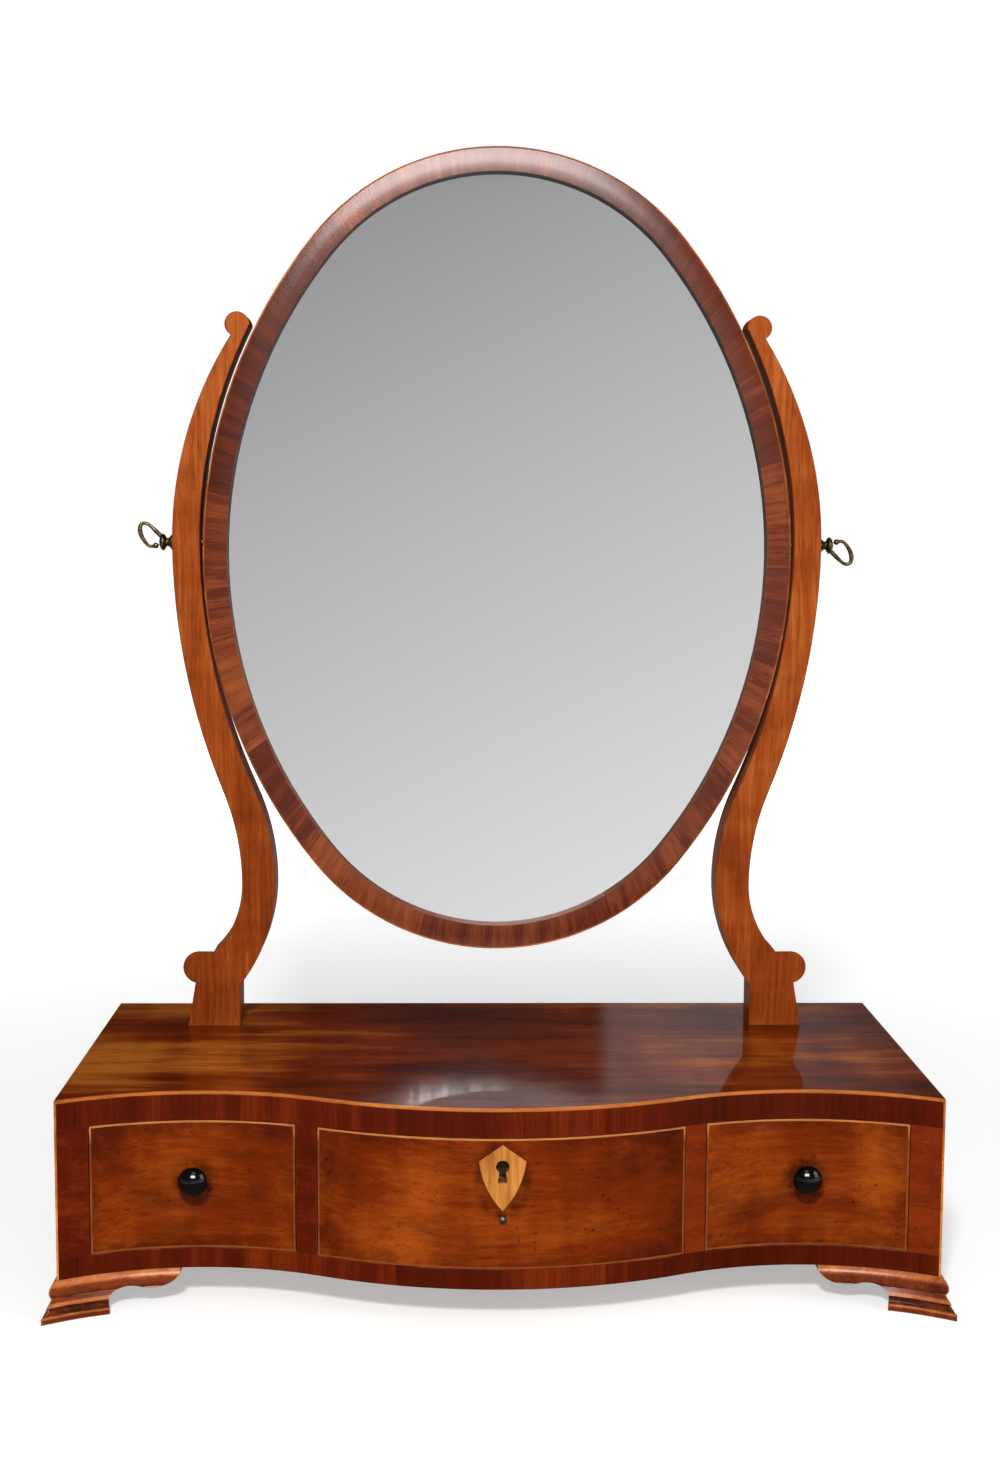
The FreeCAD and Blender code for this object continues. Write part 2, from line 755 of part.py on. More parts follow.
def bracket_outline(corner, side):
    # view of a bracket: plinth, arch and scrolled wing, from the corner of the box inwards
    def along(distance):
        return f"({corner} + {side} * ({distance}))"
    return [(along("-1 * mitre_reach"), "0"), (along("plinth_length"), "0"),
            (along("plinth_length"), "shoulder_height", "arch_radius", -side),
            (along("arch_reach"), "arch_height", "wing_radius", side),
            (along("wing_length"), "foot_height - wing_tip"), (along("wing_length"), "foot_height"),
            (along("-1 * mitre_reach"), "foot_height")]


def side_bracket(name, start, stop, corner, side):
    bar = place(padded(f"{name}_bar", "XZ_Plane", f"{stop} - ({start})", ogee("-half_width")), back=start)
    view = padded(f"{name}_view", "YZ_Plane", "plinth_projection + bracket_thickness + 2 * overrun",
                  bracket_outline(corner, side))
    return common(name, bar, place(view, across="-half_width - plinth_projection - overrun"))


def front_bracket(name):
    # the hollow of the front is round, so the bracket is part of a ring about the hollow's centre
    ring = turned(f"{name}_ring", "V_Axis", ogee("hollow_radius"), "XZ_Plane")
    view = padded(f"{name}_view", "XZ_Plane", "mitre_reach + hollow_depth + 2 * bracket_thickness",
                  bracket_outline("-half_width", 1))
    return common(name, place(ring, "-hollow_at", "hollow_centre"), place(view, back="-1 * mitre_reach"))


def back_bracket(name):
    view = padded(f"{name}_view", "XZ_Plane", "bracket_thickness", bracket_outline("-half_width", 1))
    back = "(base_depth - bracket_thickness)"
    span = box(f"{name}_span", "bracket_thickness - half_width", back, "0",
               "wing_length", "bracket_thickness", "foot_height")
    return common(name, place(view, back=back), span)


def mitre():
    # all that lies on the front's side of the line that halves the corner of the box
    across = "(base_depth * (1 - corner_sine))"
    back = "(base_depth * corner_cosine)"
    plan = [(f"-half_width - {across}", f"-1 * {back}"), (f"-half_width + {across}", back),
            (f"-half_width + {across} + {back}", f"{back} - {across}"),
            (f"-half_width - {across} + {back}", f"-1 * {back} - {across}")]
    return layer("mitre", plan, "0", "foot_height")


def plinth_end():
    # the curved bracket's plinth ends square to its face, so a wedge comes off behind its inner edge
    across = "(plinth_length - half_width + hollow_at)"
    face = "(hollow_radius - plinth_projection)"

    def on_radius(share):
        return f"({across} * {share} - hollow_at)", f"(sqrt({face}^2 - {across}^2) * {share} + hollow_centre)"
    near = on_radius(f"(1 - overrun / {face})")
    far = on_radius(f"((hollow_radius + bracket_thickness + overrun) / {face})")
    inside = "(plinth_length - half_width + overrun)"
    behind = f"({far[1]} + bracket_thickness)"
    plan = [near, (inside, near[1]), (inside, behind), (far[0], behind), far]
    return layer("plinth_end", plan, "0", "shoulder_height")


def make_feet():
    corner = mitre()
    front = common("front_bracket", front_bracket("front_bracket"), corner)
    front = cut("front_bracket", front, plinth_end())
    side = side_bracket("side_bracket", "-1 * mitre_reach", "wing_length", "0", 1)
    pair = group("front_left_foot", front, cut("side_bracket", side, corner))
    keep("front_right_foot", mirrored("front_right_foot", keep("front_left_foot", pair)))
    rear = side_bracket("rear_bracket", "base_depth - wing_length", "base_depth", "base_depth", -1)
    pair = group("rear_left_foot", rear, back_bracket("back_bracket"))
    keep("rear_right_foot", mirrored("rear_right_foot", keep("rear_left_foot", pair)))


def make_foot_blocks():
    inner = "(half_width - bracket_thickness)"
    stop = f"(foot_block - {inner})"
    behind = f"({front_back(stop, 'bracket_thickness')} + foot_block)"
    front = slab(f"-{inner}", stop, "bracket_thickness", behind)
    rear = "(base_depth - bracket_thickness - foot_block)"
    height = "foot_height - foot_block_drop"
    blocks = [layer("front_block", front, "foot_block_drop", height),
              box("rear_block", f"-{inner}", rear, "foot_block_drop", "foot_block", "foot_block", height)]
    blocks += [mirrored("foot_block_twin", item) for item in blocks]
    keep("foot_blocks", group("foot_blocks", *blocks))


# Uprights


def leaning_radius(rise, run):
    # radius of an arc that leaves one end upright and reaches the other end
    return f"((({rise})^2 + ({run})^2) / (2 * abs({run})))"


def upright_outline():
    # the right upright in front view, heights above the box
    notch = ("(scroll_reach + scroll_radius * cos(scroll_nick_angle))",
             "(scroll_height - scroll_radius * sin(scroll_nick_angle))")
    nick = ("(foot_outer - nick_step)", "(lobe_height + lobe_radius - nick_drop)")
    root = ("(lobe_reach + lobe_radius * cos(lobe_root_angle))",
            "(lobe_height - lobe_radius * sin(lobe_root_angle))")
    low = "(sweep_height - waist_height)"
    high = "(pivot_height - sweep_height)"
    return [
        ("foot_inner", "0"),
        ("foot_outer", "0"),
        (*root, "lobe_radius", 1),
        ("lobe_reach + lobe_radius", "lobe_height", "lobe_radius", 1),
        ("lobe_reach", "lobe_height + lobe_radius"),
        (*nick, leaning_radius(f"waist_height - {nick[1]}", f"{nick[0]} - waist_outer"), -1),
        ("waist_outer", "waist_height", leaning_radius(low, "sweep_outer - waist_outer"), -1),
        ("sweep_outer", "sweep_height", leaning_radius(high, "bow_outer - sweep_outer"), 1),
        ("bow_outer", "pivot_height",
         leaning_radius(f"{notch[1]} - pivot_height", f"bow_outer - {notch[0]}"), 1),
        (*notch, "scroll_radius", 1),
        ("scroll_reach + scroll_radius", "scroll_height", "scroll_radius", 1),
        ("scroll_reach", "scroll_height + scroll_radius", "scroll_radius", 1),
        ("scroll_reach - scroll_radius", "scroll_height",
         leaning_radius("scroll_height - pivot_height", "bow_inner - scroll_reach + scroll_radius"), -1),
        ("bow_inner", "pivot_height", leaning_radius(high, "bow_inner - sweep_inner"), -1),
        ("sweep_inner", "sweep_height", leaning_radius(low, "sweep_inner - waist_inner"), 1),
        ("waist_inner", "waist_height",
         leaning_radius("waist_height - heel_height", "foot_inner - waist_inner"), 1),
        ("foot_inner", "heel_height"),
    ]


def lobe_relief(front):
    # the lobe's top falls away to the back, so that only its round face shows from the front
    top = "(box_top + lobe_height + lobe_radius)"
    back = f"({front} + upright_thickness)"
    wedge = padded("lobe_wedge", "YZ_Plane", "nick_step - lobe_step",
                   [(front, top), (back, f"{top} - lobe_fall"), (back, f"{top} + overrun"),
                    (front, f"{top} + overrun")])
    corners = [("0", "0"), ("lobe_radius", "0"), ("lobe_radius - lobe_fall", "upright_thickness"),
               ("0", "upright_thickness")]
    cone = place(turned("lobe_cone", "V_Axis", corners), "lobe_reach", front, "box_top + lobe_height")
    block = box("lobe_block", "lobe_reach", front, "box_top + lobe_height",
                "lobe_radius + overrun", "upright_thickness", "lobe_radius + overrun")
    return place(wedge, across="foot_outer - nick_step"), cut("lobe_waste", block, cone)


def make_uprights():
    front = "(base_depth - upright_setback - upright_thickness)"
    post = place(padded("right_upright", "XZ_Plane", "upright_thickness", upright_outline()),
                 back=front, up="box_top")
    middle = "((foot_inner + foot_outer) / 2)"
    tenon = box("upright_tenon", f"{middle} - tenon_length / 2", "pivot_back - tenon_width / 2",
                "box_top - tenon_depth", "tenon_length", "tenon_width", "tenon_depth")
    post = join("right_upright", post, tenon)
    bore = rod("swivel_bore", Vector(1, 0, 0), "swivel_shank + 2 * swivel_play",
               "bow_outer - bow_inner + 2 * overrun", "bow_inner - overrun", "pivot_back", "pivot_level")
    seat = box("plate_seat", "bow_outer - plate_thickness", "pivot_back - plate_width / 2",
               "pivot_level - plate_height / 2", "2 * plate_thickness", "plate_width", "plate_height")
    under = "(box_top - top_thickness)"
    fixing = screw("upright_screw", "screw", Vector(0, 0, 1), "0", middle, "pivot_back", under)
    fixing_bore = screw("upright_bore", "screw", Vector(0, 0, 1), "fit_gap", middle, "pivot_back", under)
    nails, nail_bores = plate_nails()
    post = cut("right_upright", post, *lobe_relief(front), bore, seat, fixing_bore, *nail_bores)
    keep("right_upright", post)
    twin = keep("left_upright", mirrored("left_upright", post))
    plate = box("right_swivel_plate", "bow_outer - plate_thickness", "pivot_back - plate_width / 2",
                "pivot_level - plate_height / 2", "plate_thickness", "plate_width", "plate_height")
    plate = keep("right_swivel_plate", cut("right_swivel_plate", plate, bore, *nail_bores))
    keep("left_swivel_plate", mirrored("left_swivel_plate", plate))
    keep("plate_nails", group("plate_nails", *nails, *[mirrored("nail_twin", nail) for nail in nails]))
    keep("upright_screws", group("upright_screws", fixing, mirrored("screw_twin", fixing)))
    return [post, twin], [fixing_bore, mirrored("bore_twin", fixing_bore)]


def plate_nails():
    nails = []
    bores = []
    for side in ("-1", "1"):
        level = f"(pivot_level + {side} * nail_spacing / 2)"
        corners = [("nail_head_height", "0"), ("nail_head_height", "nail_crown / 2"),
                   ("fit_gap", "nail_head / 2"), ("fit_gap", "nail_diameter / 2"),
                   ("-nail_length", "nail_diameter / 2"), ("-nail_length", "0")]
        nails.append(place(turned("plate_nail", "H_Axis", corners), "bow_outer", "pivot_back", level))
        bores.append(rod("nail_bore", Vector(1, 0, 0), "nail_diameter + 2 * fit_gap",
                         "nail_length + fit_gap + overrun", "bow_outer - nail_length - fit_gap",
                         "pivot_back", level))
    return nails, bores


# Swivel screws


def make_swivels():
    tip = "(oval_half_width - nut_length - bow_outer)"
    waist = "(collar_length + swivel_gap)"
    end = "loop_start + loop_wire / 2"
    corners = [(tip, "0"), (end, "0"), (end, "stem_tip / 2"),
               (f"2 * knot_at - {waist}", "throat_diameter / 2"),
               ("knot_at + knot_band / 2", "knot_diameter / 2"),
               ("knot_at - knot_band / 2", "knot_diameter / 2"),
               (waist, "throat_diameter / 2", "collar_length", 1),
               ("swivel_gap + collar_rim", "collar_diameter / 2"), ("swivel_gap", "collar_diameter / 2"),
               ("swivel_gap", "swivel_shank / 2"), (tip, "swivel_shank / 2")]
    for side, way in (("right", ""), ("left", "-")):
        # both screws are made on the right, the left one leans up and is then mirrored
        stem = place(turned(f"{side}_swivel_stem", "H_Axis", corners), "bow_outer", "pivot_back", "pivot_level")
        ring = padded(f"{side}_swivel_ring", "XZ_Plane", "loop_wire",
                      leaning(loop_outline("0"), way), leaning(loop_outline("loop_wire"), way))
        place(ring, "bow_outer", "pivot_back - loop_wire / 2", "pivot_level")
        screw = join(f"{side}_swivel_screw", stem, ring)
        keep(f"{side}_swivel_screw", screw if side == "right" else mirrored("left_swivel_screw", screw))


def leaning(corners, way):
    # the bow bent over from the end of the stem
    bend = f"({way}loop_lean)"
    turned_over = []
    for along, up, *curve in corners:
        run = f"({along} - loop_start)"
        turned_over.append((f"loop_start + {run} * cos({bend}) + ({up}) * sin({bend})",
                            f"({up}) * cos({bend}) - {run} * sin({bend})", *curve))
    return turned_over


def loop_outline(inset):
    # heart-shaped bow of the key, its point at the knot
    start = f"(loop_start + {inset})"
    end = f"(loop_start + loop_length - {inset})"
    wide = f"(loop_half_height - {inset})"
    corner = "(loop_start + loop_wide_at)"
    bend = leaning_radius(wide, f"{end} - {corner}")
    return [(start, "-loop_root / 2"), (corner, f"-{wide}", bend, 1), (end, "0", bend, 1), (corner, wide),
            (start, "loop_root / 2")]


# Mirror


def oval_joint(inset):
    share = f"((oval_end_radius - {inset}) / (side_radius - oval_end_radius))"
    return f"(side_run * {share})", f"(end_rise * (1 + {share}))"


def oval(inset):
    across, up = oval_joint(inset)
    end = f"(oval_end_radius - {inset})"
    side = f"(side_radius - {inset})"
    return [(across, up, end, 1), (f"-{across}", up, side, 1), (f"-{across}", f"-{up}", end, 1),
            (across, f"-{up}", side, 1)]


def oval_path():
    corners = oval("0")
    return [("oval_half_width", "0", "side_radius", 1)] + corners[:3] + [corners[3]]


def frame_section():
    # cushioned front that falls to the outer edge, a notch there for the boxwood line, rebate at the back
    outer = "oval_half_width"
    line = "(oval_half_width - oval_line)"
    sight = "(oval_half_width - frame_width)"
    wall = "(oval_half_width - rebate_inset)"
    return [(line, "edge_fall", "cushion_radius", -1), (sight, "sight_fall"),
            (sight, "lip_depth"), (wall, "lip_depth"), (wall, "frame_thickness"),
            (outer, "frame_thickness"), (outer, "edge_fall + oval_line"), (line, "edge_fall + oval_line")]


def make_mirror():
    middle = dict(back="frame_front", up="oval_level")
    frame = place(swept("mirror_frame", oval_path(), frame_section()), **middle)
    line = swept("frame_stringing", oval_path(),
                 rectangle("oval_half_width - oval_line", "edge_fall",
                           "oval_half_width", "edge_fall + oval_line"))
    keep("frame_stringing", place(line, **middle))
    edge = oval("(rebate_inset + glass_gap)")
    glass = padded("mirror_glass", "XZ_Plane", "glass_thickness", edge)
    keep("mirror_glass", place(glass, back="frame_front + lip_depth", up="oval_level"))
    panel_front = "(frame_front + frame_thickness - back_panel_inset - back_panel_thickness)"
    panel = place(padded("mirror_back_board", "XZ_Plane", "back_panel_thickness", edge),
                  back=panel_front, up="oval_level")
    wedges, brads, bores = make_wedges(panel_front)
    keep("mirror_back_board", cut("mirror_back_board", panel, *bores))
    keep("glass_wedges", group("glass_wedges", *[cut("glass_wedge", *pair) for pair in zip(wedges, bores)]))
    keep("back_board_brads", group("back_board_brads", *brads))
    keep("mirror_frame", make_nuts(frame))


def make_nuts(frame):
    start = "(oval_half_width - nut_inset - nut_length)"
    nut = rod("right_swivel_nut", Vector(1, 0, 0), "nut_diameter", "nut_length", start,
              "pivot_back", "pivot_level")
    thread = rod("nut_thread", Vector(1, 0, 0), "swivel_shank + 2 * fit_gap", "nut_length + 2 * overrun",
                 f"{start} - overrun", "pivot_back", "pivot_level")
    nut = keep("right_swivel_nut", cut("right_swivel_nut", nut, thread))
    keep("left_swivel_nut", mirrored("left_swivel_nut", nut))
    socket = rod("nut_socket", Vector(1, 0, 0), "nut_diameter + 2 * fit_gap",
                 "nut_length + nut_inset + 2 * overrun", start, "pivot_back", "pivot_level")
    return cut("mirror_frame", frame, socket, mirrored("nut_socket_twin", socket))


def wedge_spots():
    # centres of the blocks' inner faces: across, above the oval's centre, and the way they face
    bulge = "wedge_length^2 / (8 * (oval_end_radius - frame_width))"
    inset = f"(rebate_inset + glass_gap + {bulge} + wedge_width)"
    arcs = [("(-1 * side_run)", "0", "side_radius", 0, side_wedge_angles),
            ("side_run", "0", "side_radius", 180, side_wedge_angles),
            ("0", "end_rise", "oval_end_radius", 90, end_wedge_angles),
            ("0", "(-1 * end_rise)", "oval_end_radius", 270, end_wedge_angles)]
    for across, up, radius, heading, angles in arcs:
        for angle in angles:
            turn = heading + angle
            reach = f"({radius} - {inset})"
            yield f"({across} + {reach} * cos({turn}))", f"({up} + {reach} * sin({turn}))", turn


def wedge_block(across, up, turn, back, depth):
    block = doc.addObject("Part::Box", "wedge")
    block.Placement = Placement(Vector(), Rotation(Vector(0, -1, 0), turn))
    bind(block, "Length", "wedge_width")
    bind(block, "Width", depth)
    bind(block, "Height", "wedge_length")
    return place(block, f"{across} + wedge_length / 2 * sin({turn})", back,
                 f"oval_level + {up} - wedge_length / 2 * cos({turn})")


def make_wedges(panel_front):
    # softwood blocks between the glass and the back board, and the brads that hold the board to them
    glass_back = "(frame_front + lip_depth + glass_thickness)"
    corners = [("0", "-brad_length"), ("brad_diameter / 2", "-brad_length"), ("brad_diameter / 2", "fit_gap"),
               ("brad_head / 2", "fit_gap"), ("brad_head / 2", "brad_head_height"), ("0", "brad_head_height")]
    wedges = []
    brads = []
    bores = []
    for across, up, turn in wedge_spots():
        wedges.append(wedge_block(across, up, turn, glass_back, f"{panel_front} - {glass_back}"))
        centre = (f"{across} + wedge_width / 2 * cos({turn})", f"{panel_front} + back_panel_thickness",
                  f"oval_level + {up} + wedge_width / 2 * sin({turn})")
        brads.append(place(turned("brad", "V_Axis", corners), *centre))
        bores.append(rod("brad_bore", Vector(0, -1, 0), "brad_diameter + 2 * fit_gap",
                         "brad_length + fit_gap", *centre))
    return wedges, brads, bores


def build():
    make_boards()
    make_rails()
    make_facing()
    make_runners()
    make_side_drawers()
    make_centre_drawer()
    make_feet()
    make_foot_blocks()
    uprights, screw_bores = make_uprights()
    make_top_board(uprights, screw_bores)
    make_swivels()
    make_mirror()
    doc.recompute()


def write():
    failed = [item.Label for item in doc.Objects if {"Invalid", "Error"} & set(item.State)]
    failed += [name for name, item in nodes.items() if item.Shape.isNull() or not item.Shape.isValid()]
    if failed:
        raise RuntimeError(f"these pieces failed: {', '.join(failed)}")
    os.makedirs("parts", exist_ok=True)
    for name, item in nodes.items():
        item.Shape.exportStep(f"parts/{name}.step")
    print(f"{len(nodes)} pieces written")


build()
write()
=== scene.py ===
import math

import bpy
from mathutils import Matrix, Vector


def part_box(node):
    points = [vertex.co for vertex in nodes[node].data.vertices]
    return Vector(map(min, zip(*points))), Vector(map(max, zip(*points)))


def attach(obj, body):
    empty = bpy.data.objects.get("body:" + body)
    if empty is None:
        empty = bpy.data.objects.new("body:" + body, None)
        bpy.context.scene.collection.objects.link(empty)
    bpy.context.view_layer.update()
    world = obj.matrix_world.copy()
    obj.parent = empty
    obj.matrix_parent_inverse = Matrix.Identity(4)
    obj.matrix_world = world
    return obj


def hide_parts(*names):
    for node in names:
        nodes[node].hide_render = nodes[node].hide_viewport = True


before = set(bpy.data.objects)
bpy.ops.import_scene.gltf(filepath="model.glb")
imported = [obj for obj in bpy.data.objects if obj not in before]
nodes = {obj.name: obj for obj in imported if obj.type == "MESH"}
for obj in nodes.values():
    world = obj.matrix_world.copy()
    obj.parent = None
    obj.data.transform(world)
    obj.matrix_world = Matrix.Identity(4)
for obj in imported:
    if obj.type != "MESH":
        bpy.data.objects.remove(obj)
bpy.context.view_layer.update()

bpy.ops.object.select_all(action="DESELECT")
print("frame loaded:", len(nodes), "pieces")


# Shader writing

def feed(node, values):
    # a wire is linked to its socket, a plain value is set on it
    for name, value in values.items():
        if isinstance(value, Wire):
            value.tree.links.new(value.socket, node.inputs[name])
        else:
            node.inputs[name].default_value = value


class Wire:
    # one socket of a material, so that sums are written as on paper
    def __init__(self, tree, socket=None):
        self.tree, self.socket = tree, socket

    def node(self, kind, settings=None, inputs=None, out=0):
        made = self.tree.nodes.new("ShaderNode" + kind)
        for name, value in (settings or {}).items():
            if name == "stops":
                stops = made.color_ramp.elements
                while len(stops) < len(value):
                    stops.new(1.0)
                for stop, (place, colour) in zip(stops, value):
                    stop.position, stop.color = place, colour
            else:
                setattr(made, name, value)
        feed(made, inputs or {})
        return Wire(self.tree, made.outputs[out])

    def sums(self, operation, *terms):
        return self.node("Math", {"operation": operation}, dict(enumerate(terms)))

    def __add__(self, other):
        return self.sums("ADD", self, other)

    __radd__ = __add__

    def __sub__(self, other):
        return self.sums("SUBTRACT", self, other)

    def __rsub__(self, other):
        return self.sums("SUBTRACT", other, self)

    def __mul__(self, other):
        return self.sums("MULTIPLY", self, other)

    __rmul__ = __mul__

    def __truediv__(self, other):
        return self.sums("DIVIDE", self, other)

    def __rtruediv__(self, other):
        return self.sums("DIVIDE", other, self)

    def __abs__(self):
        return self.sums("ABSOLUTE", self)

    def larger(self, other):
        return self.sums("MAXIMUM", self, other)

    def smaller(self, other):
        return self.sums("MINIMUM", self, other)

    def whole(self):
        return self.sums("FLOOR", self)

    def step(self, low, high):
        # smooth step from 0 at low to 1 at high
        return self.node("MapRange", {"interpolation_type": "SMOOTHSTEP"}, {0: self, 1: low, 2: high})

    def split(self):
        made = self.node("SeparateXYZ", inputs={0: self}).socket.node
        return [Wire(self.tree, socket) for socket in made.outputs]


def joined(x, y, z):
    return x.node("CombineXYZ", inputs={0: x, 1: y, 2: z})


def distance(across, up):
    square = across * across + up * up
    return square.sums("SQRT", square)


def noise(point, scale, detail=2.0, rough=0.55):
    return point.node("TexNoise", inputs={"Vector": point, "Scale": scale, "Detail": detail,
                                          "Roughness": rough})


def chance(number):
    # a fixed random value for each whole number
    return number.node("TexWhiteNoise", {"noise_dimensions": "1D"}, {"W": number})


def blended(share, first, second):
    return share.node("Mix", {"data_type": "RGBA"}, {0: share, 6: first, 7: second}, out=2)


def shade(red, green, blue):
    # a colour as a picture editor shows it, made linear
    return tuple(c / 12.92 if c <= 0.04045 else ((c + 0.055) / 1.055) ** 2.4
                 for c in (red / 255, green / 255, blue / 255)) + (1.0,)


def newMaterial(name):
    material = bpy.data.materials.new(name)
    material.use_nodes = True
    tree = material.node_tree
    surface = next(n for n in tree.nodes if n.type == "BSDF_PRINCIPLED")
    return material, Wire(tree), surface


wear = {"samples": 6, "turned": (0.03, 0.22)}  # how far the rounded normal leaves the flat one


def wornEdge(start, radius):
    # 1 along the arrises and 0 on the flats, and the rounded normal
    rounded = start.node("Bevel", {"samples": wear["samples"]}, {"Radius": radius})
    flat = start.node("NewGeometry", out="Normal")
    facing = start.node("VectorMath", {"operation": "DOT_PRODUCT"}, {0: rounded, 1: flat}, out="Value")
    return (1 - facing).step(*wear["turned"]), rounded


# Woods

# detail and roughness of each layer of noise
layers = {"sway": (1.0, 0.55), "broad": (2.0, 0.55), "streak": (4.0, 0.6), "thread": (3.0, 0.65),
          "pore": (1.0, 0.55), "ripple": (2.0, 0.55), "blotch": (4.0, 0.62), "speck": (1.0, 0.55),
          "dirt": (3.0, 0.6), "rubbing": (3.0, 0.55), "cloud": (4.0, 0.6)}

plainWood = {
    # grain: stretch along the board, fineness of its layers, their shares of the tone and its colours
    "stretch": (0.25, 0.06, 0.035), "sway": 5.0, "swayStretch": 0.6, "swayDepth": 0.006, "broad": 9.0,
    "streak": 70.0, "thread": 420.0, "ripple": 60.0, "rippleStretch": 0.2, "shares": (1.3, 1.6, 0.7, 0.4, 0.0),
    "dark": (78, 22, 5), "mid": (112, 42, 13), "light": (150, 74, 30),
    # what is as dark as the pits: pores, seams of the veneer, blotches, specks, dirt and painted shade
    "pitAndShade": (44, 12, 3), "pore": 1700.0, "poreFrom": (0.56, 0.74), "poreDepth": 0.4, "seamDepth": 0.6,
    "blotch": 45.0, "blotchStretch": 0.5, "blotchFrom": (0.46, 0.74), "blotchDepth": 0.15,
    "speck": 330.0, "speckFrom": (0.7, 0.75), "speckDepth": 0.0,
    "dirt": 140.0, "dirtFrom": (0.3, 0.65), "grimeAndShade": 0.5,
    # how far the painted shade in the corners reaches, and how it is sampled
    "hollowReach": 0.006, "hollowFrom": (0.25, 0.85), "hollowSamples": 6,
    # wear along the arrises
    "arris": 0.0008, "rubbing": 60.0, "rubFrom": (0.38, 0.62), "rub": 0.5, "rubOfCoat": 0.6,
    "worn": (176, 104, 56),
    # relief: rise of the threads, drop of the pores and of the seams
    "relief": (0.35, 0.6, 0.8), "wave": 0.6, "bump": 0.2, "bumpDepth": 0.0002,
    # polish
    "rough": 0.4, "cloud": 24.0, "roughVary": 0.14, "poreRough": 0.15, "specular": 0.04, "ior": 1.48,
    "coat": 0.15, "coatRough": 0.1, "coatIor": 1.5,
}


def woodMaterial(name, look, lay, ground=None, stain=None, tilt=None):
    # lay gives the place along, across and into the wood, the tone of its piece and the seams, if any
    material, start, surface = newMaterial(name)
    point = start.node("TexCoord", out="Object")
    x, y, z = point.split()
    along, across, deep, patch, seam = lay(x, y, z)
    pitAndShade = shade(*look["pitAndShade"])
    sway = noise(joined(along * look["swayStretch"], across, deep), look["sway"], *layers["sway"])
    across = across + (sway - 0.5) * look["swayDepth"]
    slow, long, fine = look["stretch"]
    broad = noise(joined(along * slow, across, deep), look["broad"], *layers["broad"])
    streak = noise(joined(along * long, across, deep), look["streak"], *layers["streak"])
    drawnOut = joined(along * fine, across, deep)
    thread = noise(drawnOut, look["thread"], *layers["thread"])
    pore = noise(drawnOut, look["pore"], *layers["pore"]).step(*look["poreFrom"])
    ripple = noise(joined(along, across * look["rippleStretch"], deep), look["ripple"], *layers["ripple"])
    tone = 0.5
    for part, share in zip((broad, streak, thread, ripple, patch), look["shares"]):
        tone = (part - 0.5) * share + tone
    dark, mid, light = (shade(*look[part]) for part in ("dark", "mid", "light"))
    colour = start.node("ValToRGB", {"stops": [(0.0, dark), (0.5, mid), (1.0, light)]}, {0: tone})
    colour = blended(pore * look["poreDepth"], colour, pitAndShade)
    riseOfThread, dropOfPore, dropOfSeam = look["relief"]
    height = thread * riseOfThread - pore * dropOfPore + broad * look["wave"]
    if seam:
        colour = blended(seam * look["seamDepth"], colour, pitAndShade)
        height = height - seam * dropOfSeam
    blotch = noise(joined(along * look["blotchStretch"], across, deep), look["blotch"], *layers["blotch"])
    speck = noise(point, look["speck"], *layers["speck"])
    spots = blotch.step(*look["blotchFrom"]) * look["blotchDepth"]
    spots = spots + speck.step(*look["speckFrom"]) * look["speckDepth"]
    colour = blended(spots, colour, pitAndShade)
    # stains and dirt, and also painted shade in the hollows of the feet and a painted shadow under the knobs
    if stain:
        dirt = noise(point, look["dirt"], *layers["dirt"]).step(*look["dirtFrom"])
        colour = blended(stain(x, y, z) * dirt * look["grimeAndShade"], colour, pitAndShade)
    coat = look["coat"]
    if ground:  # the bare wood behind the veneer
        normal = start.node("TexCoord", out="Normal").split()
        inside = normal[1].step(*ground["turned"])
        plain = blended(thread, shade(*ground["dark"]), shade(*ground["light"]))
        # painted shade on the sight edge of the oval
        if "shadedLip" in ground:
            plain = blended(ground["shadedLip"](normal, x, z), plain, shade(*ground["shadedLipTone"]))
        colour = blended(inside, colour, plain)
        coat = (1 - inside) * coat
    # painted shade in the corners, then pale wear along the arrises
    shadedHollow = start.node("AmbientOcclusion", {"samples": look["hollowSamples"], "only_local": True},
                        {"Distance": look["hollowReach"]}, out="AO")
    colour = blended((1 - shadedHollow.step(*look["hollowFrom"])) * look["grimeAndShade"], colour, pitAndShade)
    worn, rounded = wornEdge(start, look["arris"])
    rub = worn * noise(point, look["rubbing"], *layers["rubbing"]).step(*look["rubFrom"])
    colour = blended(rub * look["rub"], colour, shade(*look["worn"]))
    cloud = noise(point, look["cloud"], *layers["cloud"])
    rough = look["rough"] + (cloud - 0.5) * look["roughVary"] + pore * look["poreRough"]
    bump = start.node("Bump", inputs={"Strength": look["bump"], "Distance": look["bumpDepth"], "Height": height,
                                      "Normal": rounded})
    if tilt:
        bump = start.node("Bump", inputs={"Strength": 1.0, "Distance": 1.0, "Height": tilt(x, z),
                                          "Normal": bump})
    feed(surface, {"Base Color": colour, "Roughness": rough, "Normal": bump, "IOR": look["ior"],
                   "Specular IOR Level": look["specular"], "Coat Weight": (1 - rub * look["rubOfCoat"]) * coat,
                   "Coat Roughness": look["coatRough"], "Coat IOR": look["coatIor"]})
    return material


def layAlong(axis):
    # plain boards, grain along one axis
    def lay(x, y, z):
        order = {"x": (x, z, y), "y": (y, z, x), "z": (z, x, y)}[axis]
        return *order, 0.5, None
    return lay


woodOf = {}


# Top board and ends

